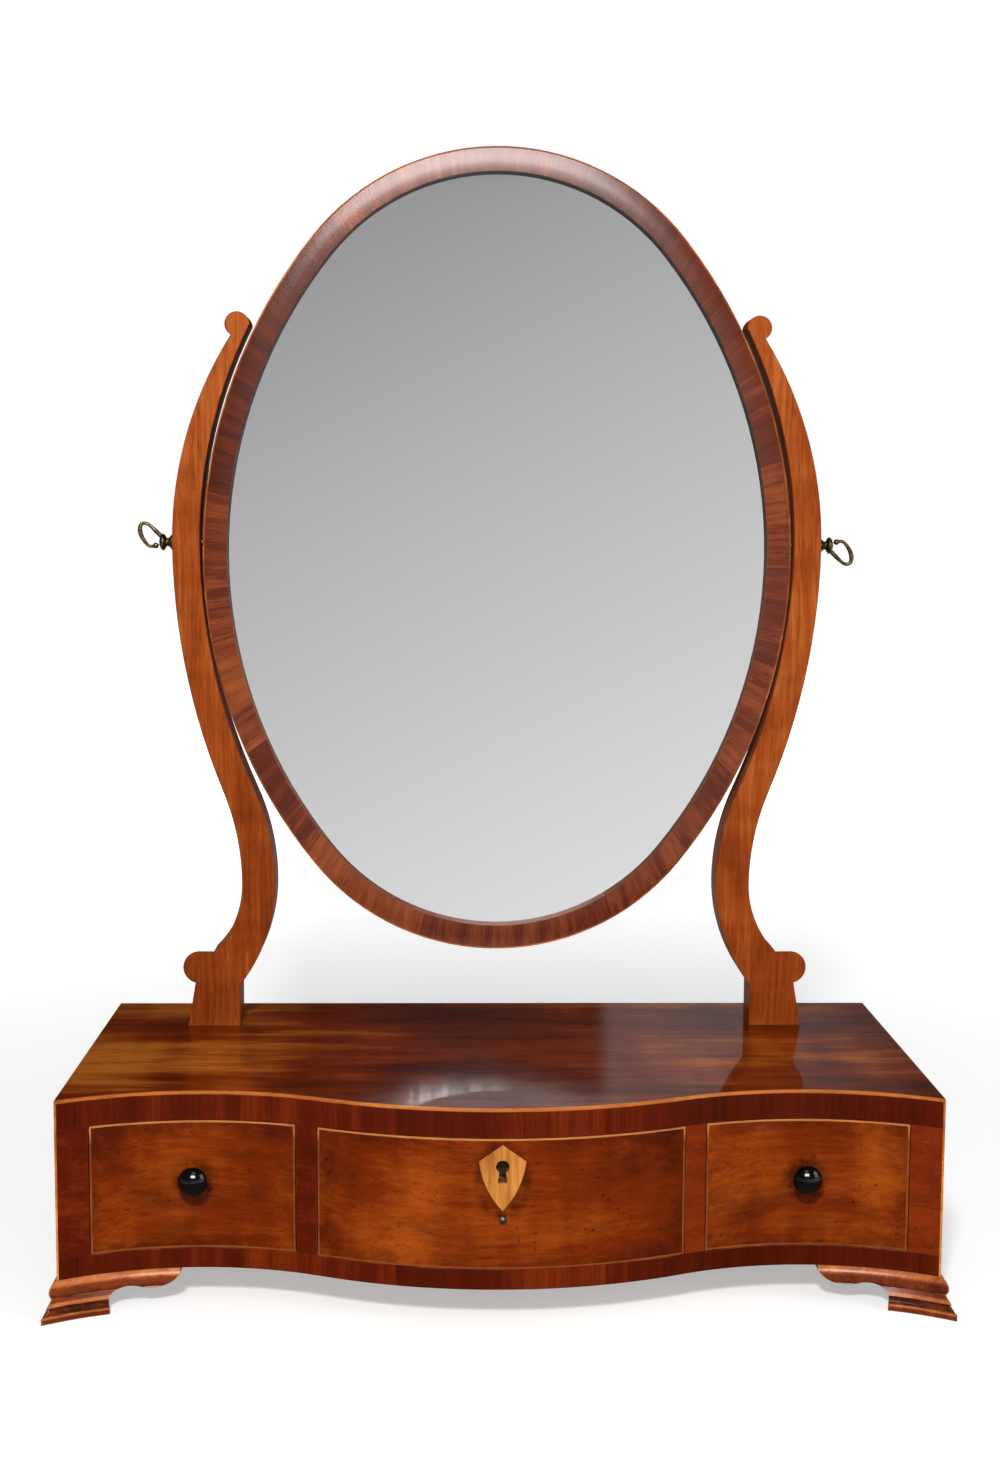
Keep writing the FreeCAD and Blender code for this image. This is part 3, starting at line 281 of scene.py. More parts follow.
topLook = dict(
    plainWood, dark=(62, 14, 0), mid=(109, 38, 3), light=(168, 92, 28), streak=60.0, broad=10.0,
    stretch=(0.4, 0.16, 0.05), ripple=24.0, shares=(1.9, 1.5, 0.7, 0.8, 0.5), blotchDepth=0.3, rub=0.4,
    rough=0.34, coat=0.6, coatRough=0.04, bump=0.07,
    tone=0.25, honey=0.75, honeyLeft=(0.03, 0.15), honeyRight=(0.1, 0.24), honeyRightShare=0.2,
    frontDepth=0.4, darkFront=(-0.11, -0.05),
    footAt=(0.1658, 0.0685), footHalf=(0.0153, 0.011), footDarkReach=0.006, footDarkDepth=0.8)
endLook = dict(plainWood, dark=(66, 19, 5), mid=(98, 35, 10), light=(140, 68, 26))


def layTop(x, y, z):
    # honey colour to the left, some of it to the right, dark where the front bows out
    look = topLook
    honey = (0 - x).step(*look["honeyLeft"]) + x.step(*look["honeyRight"]) * look["honeyRightShare"]
    front = 1 - y.step(*look["darkFront"])
    return x, y, z, look["tone"] + honey * look["honey"] - front * look["frontDepth"], None


def darkRoundUprightFeet(x, y, z):
    # darker round the feet of the uprights
    look = topLook
    (across, back), (wide, deep) = look["footAt"], look["footHalf"]
    outX = abs(abs(x) - across) - wide
    outY = abs(y - back) - deep
    return (1 - outX.larger(outY).step(0.0, look["footDarkReach"])) * look["footDarkDepth"]


woodOf["top"] = woodMaterial("mahogany_top", topLook, layTop, stain=darkRoundUprightFeet)
woodOf["end"] = woodMaterial("mahogany_end", endLook, layAlong("y"))


# Uprights

uprightLook = dict(
    plainWood, dark=(96, 36, 9), mid=(144, 65, 22), light=(182, 103, 50), streak=180.0,
    stretch=(0.25, 0.08, 0.05), sway=14.0, swayDepth=0.012, shares=(0.8, 0.5, 0.9, 0.4, 0.24),
    worn=(92, 40, 15), rub=0.7, arris=0.0012, coat=0.0, coatRough=0.2, specular=0.02, grimeAndShade=0.85,
    blotchDepth=0.3, tone=-0.5, darkBelow=(0.14, 0.36), dust=0.8, dustBelow=(0.11, 0.12),
    paleRight=(-0.1, 0.1), paleRightDepth=0.2, joint=(0.1097, 0.1108))


def layUprights(x, y, z):
    # grain upright, darker towards the foot and dusty just above the box, the right one a little paler
    look = uprightLook
    dust = 1 - z.step(*look["dustBelow"])
    tone = z.step(*look["darkBelow"]) + look["tone"] + dust * look["dust"]
    return z, x, y, tone + x.step(*look["paleRight"]) * look["paleRightDepth"], None


def jointStain(x, y, z):
    # a dark line where the uprights stand on the box
    return 1 - z.step(*uprightLook["joint"])


woodOf["upright"] = woodMaterial("mahogany_upright", uprightLook, layUprights, stain=jointStain)


# Feet

footLook = dict(
    plainWood, dark=(76, 24, 6), mid=(138, 61, 22), light=(204, 122, 66), shares=(0.7, 0.8, 0.6, 0.3, 0.5),
    # the pale wear along the arrises here is partly a painted highlight
    rub=1.0, worn=(222, 156, 100), arris=0.0013, grimeAndShade=1.0, blotchDepth=0.3, coat=0.35, coatRough=0.24,
    # level and half height of the painted highlight bands, and the share of each that is wholly pale
    paintedHighlightBands=((0.0194, 0.0036), (0.0084, 0.0014), (0.003, 0.001)), highlightCore=0.3,
    hollowLow=(0.0032, 0.004), hollowHigh=(0.0066, 0.0078), neck=0.0114, neckLine=(0.0002, 0.0011))


def layFeet(x, y, z):
    # grain level along both brackets of a corner, with a painted highlight where each moulding stands out
    look = footLook
    highlight = z * 0
    for level, half in look["paintedHighlightBands"]:
        highlight = highlight.larger(1 - abs(z - level).step(half * look["highlightCore"], half))
    return x + y, z, x - y, highlight, None


def footShade(x, y, z):
    # painted shade in the hollow under the ramp and in the line under the roll
    look = footLook
    shadedHollow = z.step(*look["hollowLow"]) * (1 - z.step(*look["hollowHigh"]))
    return shadedHollow.larger(1 - abs(z - look["neck"]).step(*look["neckLine"]))


woodOf["foot"] = woodMaterial("mahogany_foot", footLook, layFeet, stain=footShade)


# Drawer fronts

drawerLook = dict(
    plainWood, dark=(74, 20, 0), mid=(113, 37, 2), light=(158, 71, 13), streak=34.0, stretch=(0.4, 0.2, 0.05),
    ripple=34.0, shares=(1.3, 1.3, 0.6, 1.0, 0.3), sway=9.0, swayDepth=0.03, grimeAndShade=0.75, coat=0.16,
    blotchDepth=0.42, speckDepth=0.5,
    spacing=0.2, paleRight=0.3, darkRight=(-0.01, 0.06), darkRightDepth=0.9,
    # the dirt round each knob is centred a little below it and also stands in for its painted shadow
    edgeDirt=0.012, edgeDirtDepth=0.6, dirtAndShadowAt=(0.1605, 0.067), knobDirtAndShadowRadii=(0.0070711, 0.0145),
    shieldAt=0.0782, shieldTall=0.02, shieldWide=0.0135, shieldHalo=(0.7, 1.5))
drawerGround = {"turned": (-0.45, -0.25), "dark": (118, 66, 30), "light": (160, 104, 58)}


def layDrawers(x, y, z):
    # long boards, the left front darker, the right one paler, the middle one dark to the right
    look = drawerLook
    number = x.sums("ROUND", x / look["spacing"])
    middle = 1 - abs(number)
    tone = 0.5 + number * look["paleRight"] - middle * x.step(*look["darkRight"]) * look["darkRightDepth"]
    return x, z, y, tone, None


def handleDirtAndShadow(x, y, z):
    # dirt rubbed in round the shield and along the edges of the fronts, and round the knobs dirt with a painted
    # shadow, centred a little below each knob
    look = drawerLook
    (inner, _, low), (outer, _, high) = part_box("right_drawer_front")
    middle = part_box("centre_drawer_front")[1][0]
    wide = abs(x)
    inX = (middle - wide).larger((wide - inner).smaller(outer - wide))
    inside = inX.smaller((z - low).smaller(high - z))
    edge = (1 - inside.step(0.0, look["edgeDirt"])) * look["edgeDirtDepth"]
    out, up = wide - look["dirtAndShadowAt"][0], z - look["dirtAndShadowAt"][1]
    dirtAndShadowByKnob = 1 - (out * out + up * up).step(*(radius ** 2 for radius in look["knobDirtAndShadowRadii"]))
    aside, drop = x / look["shieldWide"], (z - look["shieldAt"]) / look["shieldTall"]
    shield = 1 - (aside * aside + drop * drop).step(*look["shieldHalo"])
    return edge.larger(dirtAndShadowByKnob.larger(shield))


woodOf["drawer"] = woodMaterial("mahogany_drawer", drawerLook, layDrawers, drawerGround, handleDirtAndShadow)


# Crossbanded veneers: the facing and the oval

facingLook = dict(
    plainWood, dark=(52, 10, 0), mid=(88, 22, 1), light=(134, 48, 10), streak=120.0, thread=600.0,
    shares=(0.6, 0.7, 0.5, 0.2, 0.24), sway=20.0, swayDepth=0.002, blotchDepth=0.25,
    railTop=(0.0994, 0.0998), railBottom=(0.0307, 0.0311), railPiece=0.083, stilePiece=0.034, seam=0.0007,
    sideShift=0.35, firstPiece=40, railDraw=31, sideDraw=7,
    rightFrom=(0.06, 0.1), stileRight=1.1, railRight=1.5)
frameLook = dict(
    plainWood, dark=(56, 14, 0), mid=(94, 33, 5), light=(150, 74, 30), streak=150.0, thread=800.0,
    shares=(0.5, 1.1, 0.6, 0.2, 0.55), sway=20.0, swayDepth=0.002, coat=0.6, coatRough=0.22, bump=0.6,
    level=0.3923, reach=0.2, pieces=15, firstPiece=50, seam=0.008, paintedLightBelow=(0.2, 0.3), paintedLightDepth=0.35,
    uneven=0.22, unevenWaves=3, unevenFrom=0.6,  # the pieces differ in length
    tilt=0.1, tiltDraws=(0.3, 0.6), fall=0.05, lipTurned=(-0.05, 0.0), shadedLipFrom=(0.3, 0.46))


def seamAt(place, width):
    # whole number of the veneer piece and a dark line at its joint
    number = place.whole()
    part = place - number
    return number, 1 - part.smaller(1 - part).step(0.0, width)


def layFacing(x, y, z):
    # upright grain on the rails, level grain on the stiles, laid in short pieces
    look = facingLook
    rail = z.step(*look["railTop"]) + (1 - z.step(*look["railBottom"]))
    along = rail * z + (1 - rail) * x
    across = rail * x + (1 - rail) * z
    count = rail * (1 / look["railPiece"]) + (1 - rail) * (1 / look["stilePiece"])
    side = x.sums("SIGN", x)
    place = across * count + side * look["sideShift"] + look["firstPiece"]
    number, seam = seamAt(place, look["seam"] / look["railPiece"])
    # the right-hand stile is the palest, the rail above it the darkest
    right = x.step(*look["rightFrom"]) * (look["stileRight"] - rail * look["railRight"])
    return along, across, y, chance(number + rail * look["railDraw"] + side * look["sideDraw"]) + right, seam


def roundOval(x, z):
    # distance from the middle, angle, and place counted in veneer pieces
    look = frameLook
    up = z - look["level"]
    turn = x.sums("ARCTAN2", up, x)
    uneven = look["uneven"] * turn.sums("SINE", turn * look["unevenWaves"] + look["unevenFrom"])
    return distance(x, up), turn, turn * (look["pieces"] / (2 * math.pi)) + uneven + look["firstPiece"]


def layOval(x, y, z):
    # grain pointing at the middle, with painted light making it paler at the bottom
    look = frameLook
    radius, turn, place = roundOval(x, z)
    number, seam = seamAt(place, look["seam"])
    tone = chance(number) + (1 - z.step(*look["paintedLightBelow"])) * look["paintedLightDepth"]
    return radius, turn * look["reach"], y, tone, seam


def tiltOval(x, z):
    # height of the veneer pieces, falling outwards and each lying a little askew
    look = frameLook
    radius, _, place = roundOval(x, z)
    number = place.whole()
    along = (place - number) * (2 * math.pi * look["reach"] / look["pieces"])
    first, second = look["tiltDraws"]
    askew = (chance(number + first) - 0.5) * along + (chance(number + second) - 0.5) * radius
    return askew * (2 * look["tilt"]) - radius * look["fall"]


def shadedSightEdge(normal, x, z):
    # painted shade on what faces the middle of the oval, except at the bottom
    look = frameLook
    outward = normal[0] * x + normal[2] * (z - look["level"])
    return (1 - outward.step(*look["lipTurned"])) * z.step(*look["shadedLipFrom"])


# bare wood behind the veneer, and painted shade on the sight edge
frameGround = {"turned": (-0.55, -0.35), "dark": (84, 34, 12), "light": (120, 58, 26),
               "shadedLip": shadedSightEdge, "shadedLipTone": (24, 9, 4)}
woodOf["facing"] = woodMaterial("mahogany_crossband", facingLook, layFacing)
woodOf["frame"] = woodMaterial("mahogany_oval", frameLook, layOval, frameGround, tilt=tiltOval)


# Linings, inlaid lines, shield and knobs

pineLook = dict(plainWood, dark=(128, 84, 44), mid=(160, 112, 64), light=(188, 142, 90), pitAndShade=(84, 50, 24),
                coat=0.0, rough=0.62, roughVary=0.1, poreDepth=0.2, rub=0.2, worn=(196, 156, 108))
oakLook = dict(pineLook, dark=(112, 78, 44), mid=(142, 104, 62), light=(168, 130, 84), poreDepth=0.55)
lineLook = dict(plainWood, dark=(140, 64, 18), mid=(192, 108, 42), light=(226, 152, 78), pitAndShade=(96, 40, 12),
                coat=0.4, poreDepth=0.15, rub=0.3, worn=(240, 178, 108), arris=0.0003)
edgeLineLook = dict(lineLook, dark=(96, 40, 12), mid=(144, 70, 24), light=(190, 110, 52), rub=0.1)
thinLineLook = dict(lineLook, dark=(110, 44, 14), mid=(160, 82, 36), light=(206, 128, 66),
                    shares=(0.5, 0.5, 0.4, 0.2, 0.7), paleAbove=(0.09, 0.097))
shieldLook = dict(lineLook, dark=(150, 84, 28), mid=(200, 130, 58), light=(226, 164, 90), pitAndShade=(104, 54, 18),
                  streak=150.0, poreDepth=0.4)
ebonyLook = dict(plainWood, dark=(5, 4, 4), mid=(9, 7, 6), light=(18, 14, 12), pitAndShade=(3, 2, 2),
                 coat=0.8, rough=0.3, coatRough=0.05, rub=0.15, worn=(50, 30, 18))


def layLines(x, y, z):
    # the upper lines of the drawers are the palest
    return x, z, y, z.step(*thinLineLook["paleAbove"]), None


woodOf["pine"] = woodMaterial("pine_aged", pineLook, layAlong("x"))
woodOf["pineUp"] = woodMaterial("pine_aged_upright", pineLook, layAlong("z"))
woodOf["oak"] = woodMaterial("oak_lining", oakLook, layAlong("y"))
woodOf["line"] = woodMaterial("boxwood_line", lineLook, layAlong("x"))
woodOf["edgeLine"] = woodMaterial("boxwood_edge_line", edgeLineLook, layAlong("x"))
woodOf["thinLine"] = woodMaterial("boxwood_thin_line", thinLineLook, layLines)
woodOf["shield"] = woodMaterial("boxwood_shield", shieldLook, layAlong("z"))
woodOf["ebony"] = woodMaterial("ebonised_knob", ebonyLook, layAlong("y"))
print("woods made:", len(woodOf))


# Metals

oldMetal = {"cloud": (300.0, 4.0, 0.62), "cloudFrom": (0.35, 0.65), "speck": (900.0, 2.0),
            "speckFrom": (0.52, 0.7), "speckDepth": 0.5, "speckDull": 0.5, "arris": 0.0004, "rub": 0.7,
            "cloudRough": 0.3, "speckRough": 0.2, "rubRough": 0.1,
            "bump": 0.3, "bumpDepth": 0.0001, "speckDrop": 0.4}
brassLook = dict(oldMetal, dark=(70, 58, 40), light=(112, 94, 62), stain=(40, 34, 26),
                 bright=(176, 150, 104), rough=0.38)
ironLook = dict(oldMetal, dark=(44, 40, 38), light=(74, 70, 68), stain=(60, 34, 20),
                bright=(130, 128, 126), rough=0.42)
pinLook = dict(ironLook, dark=(84, 76, 68), light=(132, 124, 114), rough=0.36)


def metalMaterial(name, look):
    material, start, surface = newMaterial(name)
    point = start.node("TexCoord", out="Object")
    cloud = noise(point, *look["cloud"])
    speck = noise(point, *look["speck"]).step(*look["speckFrom"])
    worn, rounded = wornEdge(start, look["arris"])
    colour = blended(cloud.step(*look["cloudFrom"]), shade(*look["dark"]), shade(*look["light"]))
    colour = blended(speck * look["speckDepth"], colour, shade(*look["stain"]))
    colour = blended(worn * look["rub"], colour, shade(*look["bright"]))
    rough = look["rough"] + (cloud - 0.5) * look["cloudRough"] + speck * look["speckRough"]
    rough = rough - worn * look["rubRough"]
    bump = start.node("Bump", inputs={"Strength": look["bump"], "Distance": look["bumpDepth"],
                                      "Height": cloud - speck * look["speckDrop"], "Normal": rounded})
    feed(surface, {"Base Color": colour, "Roughness": rough, "Normal": bump,
                   "Metallic": 1 - speck * look["speckDull"]})
    return material


metalOf = {"brass": metalMaterial("brass_old", brassLook), "iron": metalMaterial("iron_old", ironLook),
           "pin": metalMaterial("iron_rubbed", pinLook)}


# Looking glass

glassLook = {
    "silver": (242, 242, 242), "edge": (150, 165, 155), "frontTurned": (-0.8, -0.6),
    # foxing: fine spots, here and there
    "fox": (120, 112, 100), "foxDepth": 0.4, "spot": (900.0, 3.0, 0.6), "spotFrom": (0.68, 0.78),
    "here": (12.0, 2.0), "hereFrom": (0.5, 0.7),
    "rough": 0.015, "haze": (18.0, 3.0), "hazeRough": 0.03, "foxRough": 0.2,
    "ripple": (5.0, 1.0), "bump": 0.02, "bumpDepth": 0.001,
}


def glassMaterial(look):
    material, start, surface = newMaterial("looking_glass")
    point = start.node("TexCoord", out="Object")
    normal = start.node("TexCoord", out="Normal").split()
    front = 1 - normal[1].step(*look["frontTurned"])
    fox = noise(point, *look["spot"]).step(*look["spotFrom"])
    fox = fox * noise(point, *look["here"]).step(*look["hereFrom"])
    haze = noise(point, *look["haze"])
    colour = blended(front, shade(*look["edge"]), shade(*look["silver"]))
    colour = blended(fox * look["foxDepth"], colour, shade(*look["fox"]))
    bump = start.node("Bump", inputs={"Strength": look["bump"], "Distance": look["bumpDepth"],
                                      "Height": noise(point, *look["ripple"])})
    feed(surface, {"Base Color": colour, "Metallic": front, "Normal": bump,
                   "Roughness": look["rough"] + haze * look["hazeRough"] + fox * look["foxRough"]})
    return material


silver = glassMaterial(glassLook)


# Dressing the solids

def dress(material, *names):
    for name in names:
        slots = nodes[name].data.materials
        slots.clear()
        slots.append(material)


dress(woodOf["top"], "top_board")
dress(woodOf["end"], "left_end", "right_end")
dress(woodOf["upright"], "left_upright", "right_upright")
dress(woodOf["foot"], "front_left_foot", "front_right_foot", "rear_left_foot", "rear_right_foot")
dress(woodOf["drawer"], "left_drawer_front", "centre_drawer_front", "right_drawer_front")
dress(woodOf["facing"], "front_facing")
dress(woodOf["frame"], "mirror_frame")
dress(woodOf["pine"], "back_board", "bottom_board", "bottom_rail", "top_rail", "foot_blocks")
dress(woodOf["pineUp"], "left_partition", "right_partition", "mirror_back_board", "glass_wedges")
dress(woodOf["oak"], "drawer_runners", "drawer_stops")
for lining in ("outer_side", "inner_side", "back", "bottom"):
    dress(woodOf["oak"], f"left_drawer_{lining}", f"right_drawer_{lining}")
for lining in ("left_side", "right_side", "back", "bottom"):
    dress(woodOf["oak"], f"centre_drawer_{lining}")
dress(woodOf["line"], "edge_stringing")
dress(woodOf["edgeLine"], "frame_stringing")
dress(woodOf["thinLine"], "left_drawer_stringing", "centre_drawer_stringing", "right_drawer_stringing")
dress(woodOf["shield"], "escutcheon")
dress(woodOf["ebony"], "left_drawer_knob", "right_drawer_knob")
dress(metalOf["brass"], "left_swivel_plate", "right_swivel_plate", "plate_nails", "left_swivel_nut",
      "right_swivel_nut", "left_swivel_screw", "right_swivel_screw", "lock_case", "lock_bolt")
dress(metalOf["iron"], "upright_screws", "back_board_brads", "lock_screws")
dress(metalOf["pin"], "pull_pin")
dress(silver, "mirror_glass")
print("pieces dressed")


# Swivel keys: turned screws that end in a worn bow for the fingers

keyLook = {
    "edge": 0.1875, "back": 0.0685, "level": 0.399,  # outer edge of the uprights, and the swivels' axis
    # distance out from that edge and radius
    "turning": [(-0.0237, 0.0015), (-0.0225, 0.0025), (0.0003, 0.0025), (0.0003, 0.0043), (0.0008, 0.0048),
                (0.0014, 0.0047), (0.0024, 0.0033), (0.0036, 0.0024), (0.0046, 0.0023), (0.0051, 0.0036),
                (0.0058, 0.0046), (0.0066, 0.0049), (0.0074, 0.0045), (0.0081, 0.0034), (0.0087, 0.0016)],
    "sides": 32,
    # the bow: distance out, rise above the axis and share of the wire's radius
    "bow": [(0.0066, 0.0020, 1.1), (0.0082, 0.0040, 1.1), (0.0106, 0.0062, 1.2), (0.0130, 0.0086, 0.9),
            (0.0160, 0.0110, 0.85), (0.0192, 0.0107, 0.95), (0.0202, 0.0072, 1.2), (0.0192, 0.0034, 1.2),
            (0.0174, 0.0004, 0.95), (0.0150, -0.0024, 0.8), (0.0124, -0.0026, 0.9), (0.0107, -0.0019, 1.0)],
    "wire": 0.00115, "wireRings": 5, "bowSteps": 10,
    "ball": (0.0108, -0.0020, 0.0017), "ballSides": 24, "ballRings": 14,
    # worn and lumpy as an old casting
    "voxel": 0.00024, "smoothing": 5, "softness": 0.5, "lumps": 0.00022, "lumpSize": 0.0022,
}


def turnStem(look):
    # a disc, drawn out and scaled from ring to ring
    (at, wide), *rings = look["turning"]
    bpy.ops.mesh.primitive_circle_add(vertices=look["sides"], radius=wide, fill_type="NGON",
                                      location=(at, 0, 0), rotation=(0, math.pi / 2, 0))
    bpy.ops.object.mode_set(mode="EDIT")
    bpy.ops.mesh.select_all(action="SELECT")
    for place, radius in rings:
        bpy.ops.mesh.extrude_region_move(TRANSFORM_OT_translate={"value": (place - at, 0, 0)})
        bpy.ops.transform.resize(value=(1, radius / wide, radius / wide), center_override=(place, 0, 0))
        at, wide = place, radius
    bpy.ops.mesh.select_all(action="SELECT")
    bpy.ops.mesh.normals_make_consistent(inside=False)
    bpy.ops.object.mode_set(mode="OBJECT")
    return bpy.context.object


def bendBow(look):
    # a wire along a smooth path, made a mesh
    bpy.ops.curve.primitive_nurbs_path_add(location=(0, 0, 0))
    wire = bpy.context.object
    path = wire.data.splines[0]
    path.points.add(len(look["bow"]) - len(path.points))
    for point, (out, rise, share) in zip(path.points, look["bow"]):
        point.co = (out, 0, rise, 1)
        point.radius = share
    path.order_u = 3
    path.use_endpoint_u = True
    path.resolution_u = look["bowSteps"]
    wire.data.bevel_depth = look["wire"]
    wire.data.bevel_resolution = look["wireRings"]
    wire.data.use_fill_caps = True
    bpy.ops.object.convert(target="MESH")
    return bpy.context.object


def addBall(look):
    # the knob that ends the scroll
    out, rise, radius = look["ball"]
    bpy.ops.mesh.primitive_uv_sphere_add(segments=look["ballSides"], ring_count=look["ballRings"],
                                         radius=radius, location=(out, 0, rise))
    return bpy.context.object


def applied(piece, kind, settings):
    bpy.ops.object.modifier_add(type=kind)
    modifier = piece.modifiers[-1]
    for name, value in settings.items():
        setattr(modifier, name, value)
    bpy.ops.object.modifier_apply(modifier=modifier.name)


def makeKey(look):
    pieces = []
    for make in (turnStem, bendBow, addBall):
        bpy.ops.object.select_all(action="DESELECT")
        pieces.append(make(look))
    for piece in pieces:
        piece.select_set(True)
    key = pieces[0]
    bpy.context.view_layer.objects.active = key
    bpy.ops.object.join()
    bpy.ops.object.transform_apply(location=True, rotation=True, scale=True)
    cast = bpy.data.textures.new("cast_lumps", "CLOUDS")
    cast.noise_scale = look["lumpSize"]
    applied(key, "REMESH", {"mode": "VOXEL", "voxel_size": look["voxel"]})
    applied(key, "SMOOTH", {"factor": look["softness"], "iterations": look["smoothing"]})
    applied(key, "DISPLACE", {"texture": cast, "strength": look["lumps"], "mid_level": 0.5})
    bpy.ops.object.shade_smooth()
    key.data.materials.clear()
    key.data.materials.append(metalOf["brass"])
    return key


def setKey(key, name, body, node, turn, side):
    key.name = name
    key.rotation_euler = turn
    key.location = (side * keyLook["edge"], keyLook["back"], keyLook["level"])
    bpy.ops.object.select_all(action="DESELECT")
    key.select_set(True)
    bpy.context.view_layer.objects.active = key
    bpy.ops.object.transform_apply(location=True, rotation=True, scale=True)
    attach(key, body)
    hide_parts(node)


rightKey = makeKey(keyLook)
bpy.ops.object.duplicate(linked=False)
leftKey = bpy.context.object
setKey(rightKey, "right_key", "right_swivel", "right_swivel_screw", (math.pi, 0, 0), 1)
setKey(leftKey, "left_key", "left_swivel", "left_swivel_screw", (0, 0, math.pi), -1)
print("keys made:", len(leftKey.data.polygons), "faces each")


# Studio

mirrored = {"grey": 0.54, "lean": 0.55}  # what the looking glass shows, and how it pales to the right

floorLook = {
    "size": 30.0, "tone": 0.68, "fleckTone": 0.7, "fleck": (40.0, 3.0), "fleckDepth": 0.04, "rough": 0.9,
    "nearGlow": 0.42, "farGlow": 1.0, "glowFrom": (0.2, 1.6),  # white for the camera, away from the shadow
    "mirroredRise": 0.46, "mirroredReach": 1.15, "shadeUnderBox": 0.12, "shadeUnderTo": (0.42, 0.72),
}


def makeFloor(look):
    bpy.ops.object.select_all(action="DESELECT")
    bpy.ops.mesh.primitive_plane_add(size=look["size"], location=(0, 0, 0))
    floor = bpy.context.object
    floor.name = "floor"
    material, start, surface = newMaterial("floor_paper")
    point = start.node("TexCoord", out="Object")
    x, y, _ = point.split()
    away = distance(x, y)
    tone, fleckTone = ((value, value, value, 1) for value in (look["tone"], look["fleckTone"]))
    colour = blended(noise(point, *look["fleck"]) * look["fleckDepth"], tone, fleckTone)
    feed(surface, {"Base Color": colour, "Roughness": look["rough"], "Specular IOR Level": 0.0})
    seen = start.node("LightPath", out="Is Camera Ray")
    shiny = start.node("LightPath", out="Is Glossy Ray")
    glow = look["nearGlow"] + away.step(*look["glowFrom"]) * (look["farGlow"] - look["nearGlow"])
    lit = start.node("Emission", inputs={"Color": seen * glow, "Strength": 1.0})
    lit = start.node("AddShader", inputs={0: Wire(start.tree, surface.outputs[0]), 1: lit})
    # what the looking glass shows of the floor, a glow seen only in reflections: lighter towards the mirror,
    # with painted shade under the box
    grey = (look["mirroredRise"] + x * mirrored["lean"]) / (away + look["mirroredReach"]) + mirrored["grey"]
    grey = grey * (look["shadeUnderBox"] + (1 - look["shadeUnderBox"]) * away.step(*look["shadeUnderTo"]))
    image = start.node("Emission", inputs={"Color": grey, "Strength": 1.0})
    both = start.node("MixShader", inputs={0: shiny, 1: lit, 2: image})
    feed(next(n for n in start.tree.nodes if n.type == "OUTPUT_MATERIAL"), {"Surface": both})
    floor.data.materials.append(material)


airLook = {
    "sky": 0.28,  # light from all round
    # what the looking glass shows of the air, and the dark ceiling over it
    "mirroredDip": 1.15, "mirroredLeast": 0.2, "mirroredMost": 0.8,
    "ceiling": (0.16, 0.22), "ceilingDepth": 0.95,
    # behind the box, by slope to the side and slope upwards; only the polished top shows it
    "rear": (-0.2, 0.5), "behind": 0.008,
    "wall": 0.34, "wallLeft": (0.075, 0.087), "wallRight": (0.12, 0.3), "wallLow": (0.2, 0.25),
    "window": 6.0, "windowLeft": (-0.03, 0.0), "windowRight": (0.021, 0.036),
    "windowLow": (0.286, 0.302), "windowHigh": (0.33, 0.34),
    "streaks": 170, "streaksFrom": (0.42, 0.6), "streaksLeast": 0.25,
}


def makeWorld(look):
    world = bpy.data.worlds.new("studio_air")
    bpy.context.scene.world = world
    world.use_nodes = True
    start = Wire(world.node_tree)
    x, y, z = start.node("TexCoord", out="Generated").split()
    lean = mirrored["grey"] - z * look["mirroredDip"] + x * mirrored["lean"]
    grey = lean.smaller(look["mirroredMost"]).larger(look["mirroredLeast"])
    grey = grey * (1 - z.step(*look["ceiling"]) * look["ceilingDepth"])
    # a pale wall to the right and a streaked window low in the middle
    side = x / y
    rise = z / distance(x, y)
    pane = side.step(*look["windowLeft"]) * (1 - side.step(*look["windowRight"]))
    pane = pane * rise.step(*look["windowLow"]) * (1 - rise.step(*look["windowHigh"]))
    streak = noise(side * look["streaks"], 1.0, 1.0).step(*look["streaksFrom"])
    pane = pane * (look["streaksLeast"] + streak * (1 - look["streaksLeast"]))
    wall = side.step(*look["wallLeft"]) * (1 - side.step(*look["wallRight"])) * rise.step(*look["wallLow"])
    behind = look["behind"] + wall * look["wall"] + pane * look["window"]
    grey = grey + y.step(*look["rear"]) * (behind - grey)
    seen = start.node("LightPath", out="Is Camera Ray")
    shiny = start.node("LightPath", out="Is Glossy Ray")
    strength = seen + (1 - seen) * (shiny * grey + (1 - shiny) * look["sky"])
    air = next(n for n in start.tree.nodes if n.type == "BACKGROUND")
    feed(air, {"Color": (1, 1, 1, 1), "Strength": strength})


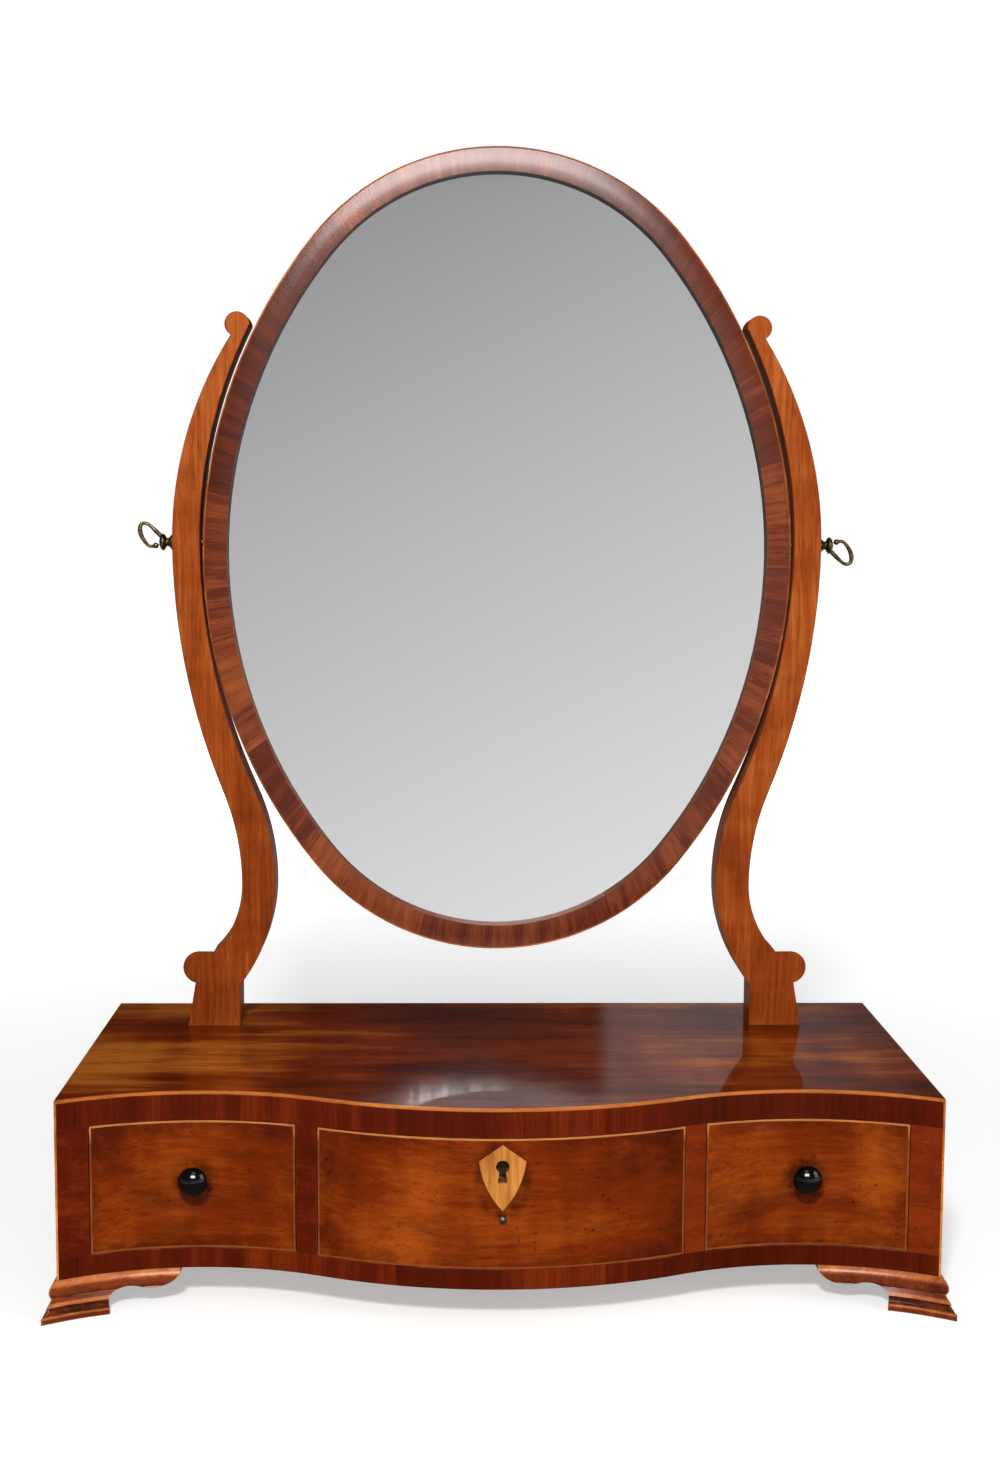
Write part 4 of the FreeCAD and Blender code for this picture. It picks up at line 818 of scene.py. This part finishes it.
lamps = {
    # the key lights, the sheet is only mirrored in the polish
    "key": {"place": (-0.16, -1.4, 1.14), "aim": (0, 0, 0.3), "size": (0.16, 0.16), "power": 26,
            "glossy": False, "diffuse": True},
    "sheet": {"place": (-0.08, -1.9, 1.44), "aim": (0, 0.05, 0.4), "size": (1.1, 0.66), "power": 62,
              "glossy": True, "diffuse": False},
    "softbox": {"place": (-0.05, -1.0, 1.75), "aim": (0, 0.05, 0.4), "size": (0.7, 0.6), "power": 2,
                "glossy": True, "diffuse": True},
    "side": {"place": (1.6, -0.7, 0.9), "aim": (0, 0, 0.3), "size": (0.8, 1.0), "power": 7,
             "glossy": True, "diffuse": True},
}


def makeLamp(name, look):
    data = bpy.data.lights.new(name, "AREA")
    data.shape = "RECTANGLE"
    data.size, data.size_y = look["size"]
    data.energy = look["power"]
    lamp = bpy.data.objects.new(name, data)
    bpy.context.scene.collection.objects.link(lamp)
    lamp.visible_glossy, lamp.visible_diffuse = look["glossy"], look["diffuse"]
    lamp.location = look["place"]
    lamp.rotation_euler = (Vector(look["aim"]) - Vector(look["place"])).to_track_quat("-Z", "Y").to_euler()


# fitted to the photo; angles in degrees
cameraLook = {"place": (-0.0280, -1.0859, 0.4095), "turn": 1.489, "dip": 5.927, "roll": 0.315,
              "lens": 48.6, "sensor": 36.0, "near": 0.05}


def makeCamera(look):
    data = bpy.data.cameras.new("camera")
    data.sensor_width = look["sensor"]
    data.lens = look["lens"]
    data.clip_start = look["near"]
    eye = bpy.data.objects.new("camera", data)
    bpy.context.scene.collection.objects.link(eye)
    turn = Matrix.Rotation(math.radians(-look["turn"]), 3, "Z")
    dip = Matrix.Rotation(math.radians(90 - look["dip"]), 3, "X")
    roll = Matrix.Rotation(math.radians(look["roll"]), 3, "Z")
    eye.matrix_world = Matrix.Translation(look["place"]) @ (turn @ dip @ roll).to_4x4()
    bpy.context.scene.camera = eye


makeFloor(floorLook)
makeWorld(airLook)
for lampName, lampLook in lamps.items():
    makeLamp(lampName, lampLook)
makeCamera(cameraLook)
bpy.context.scene.view_settings.view_transform = "Standard"
print("studio ready")
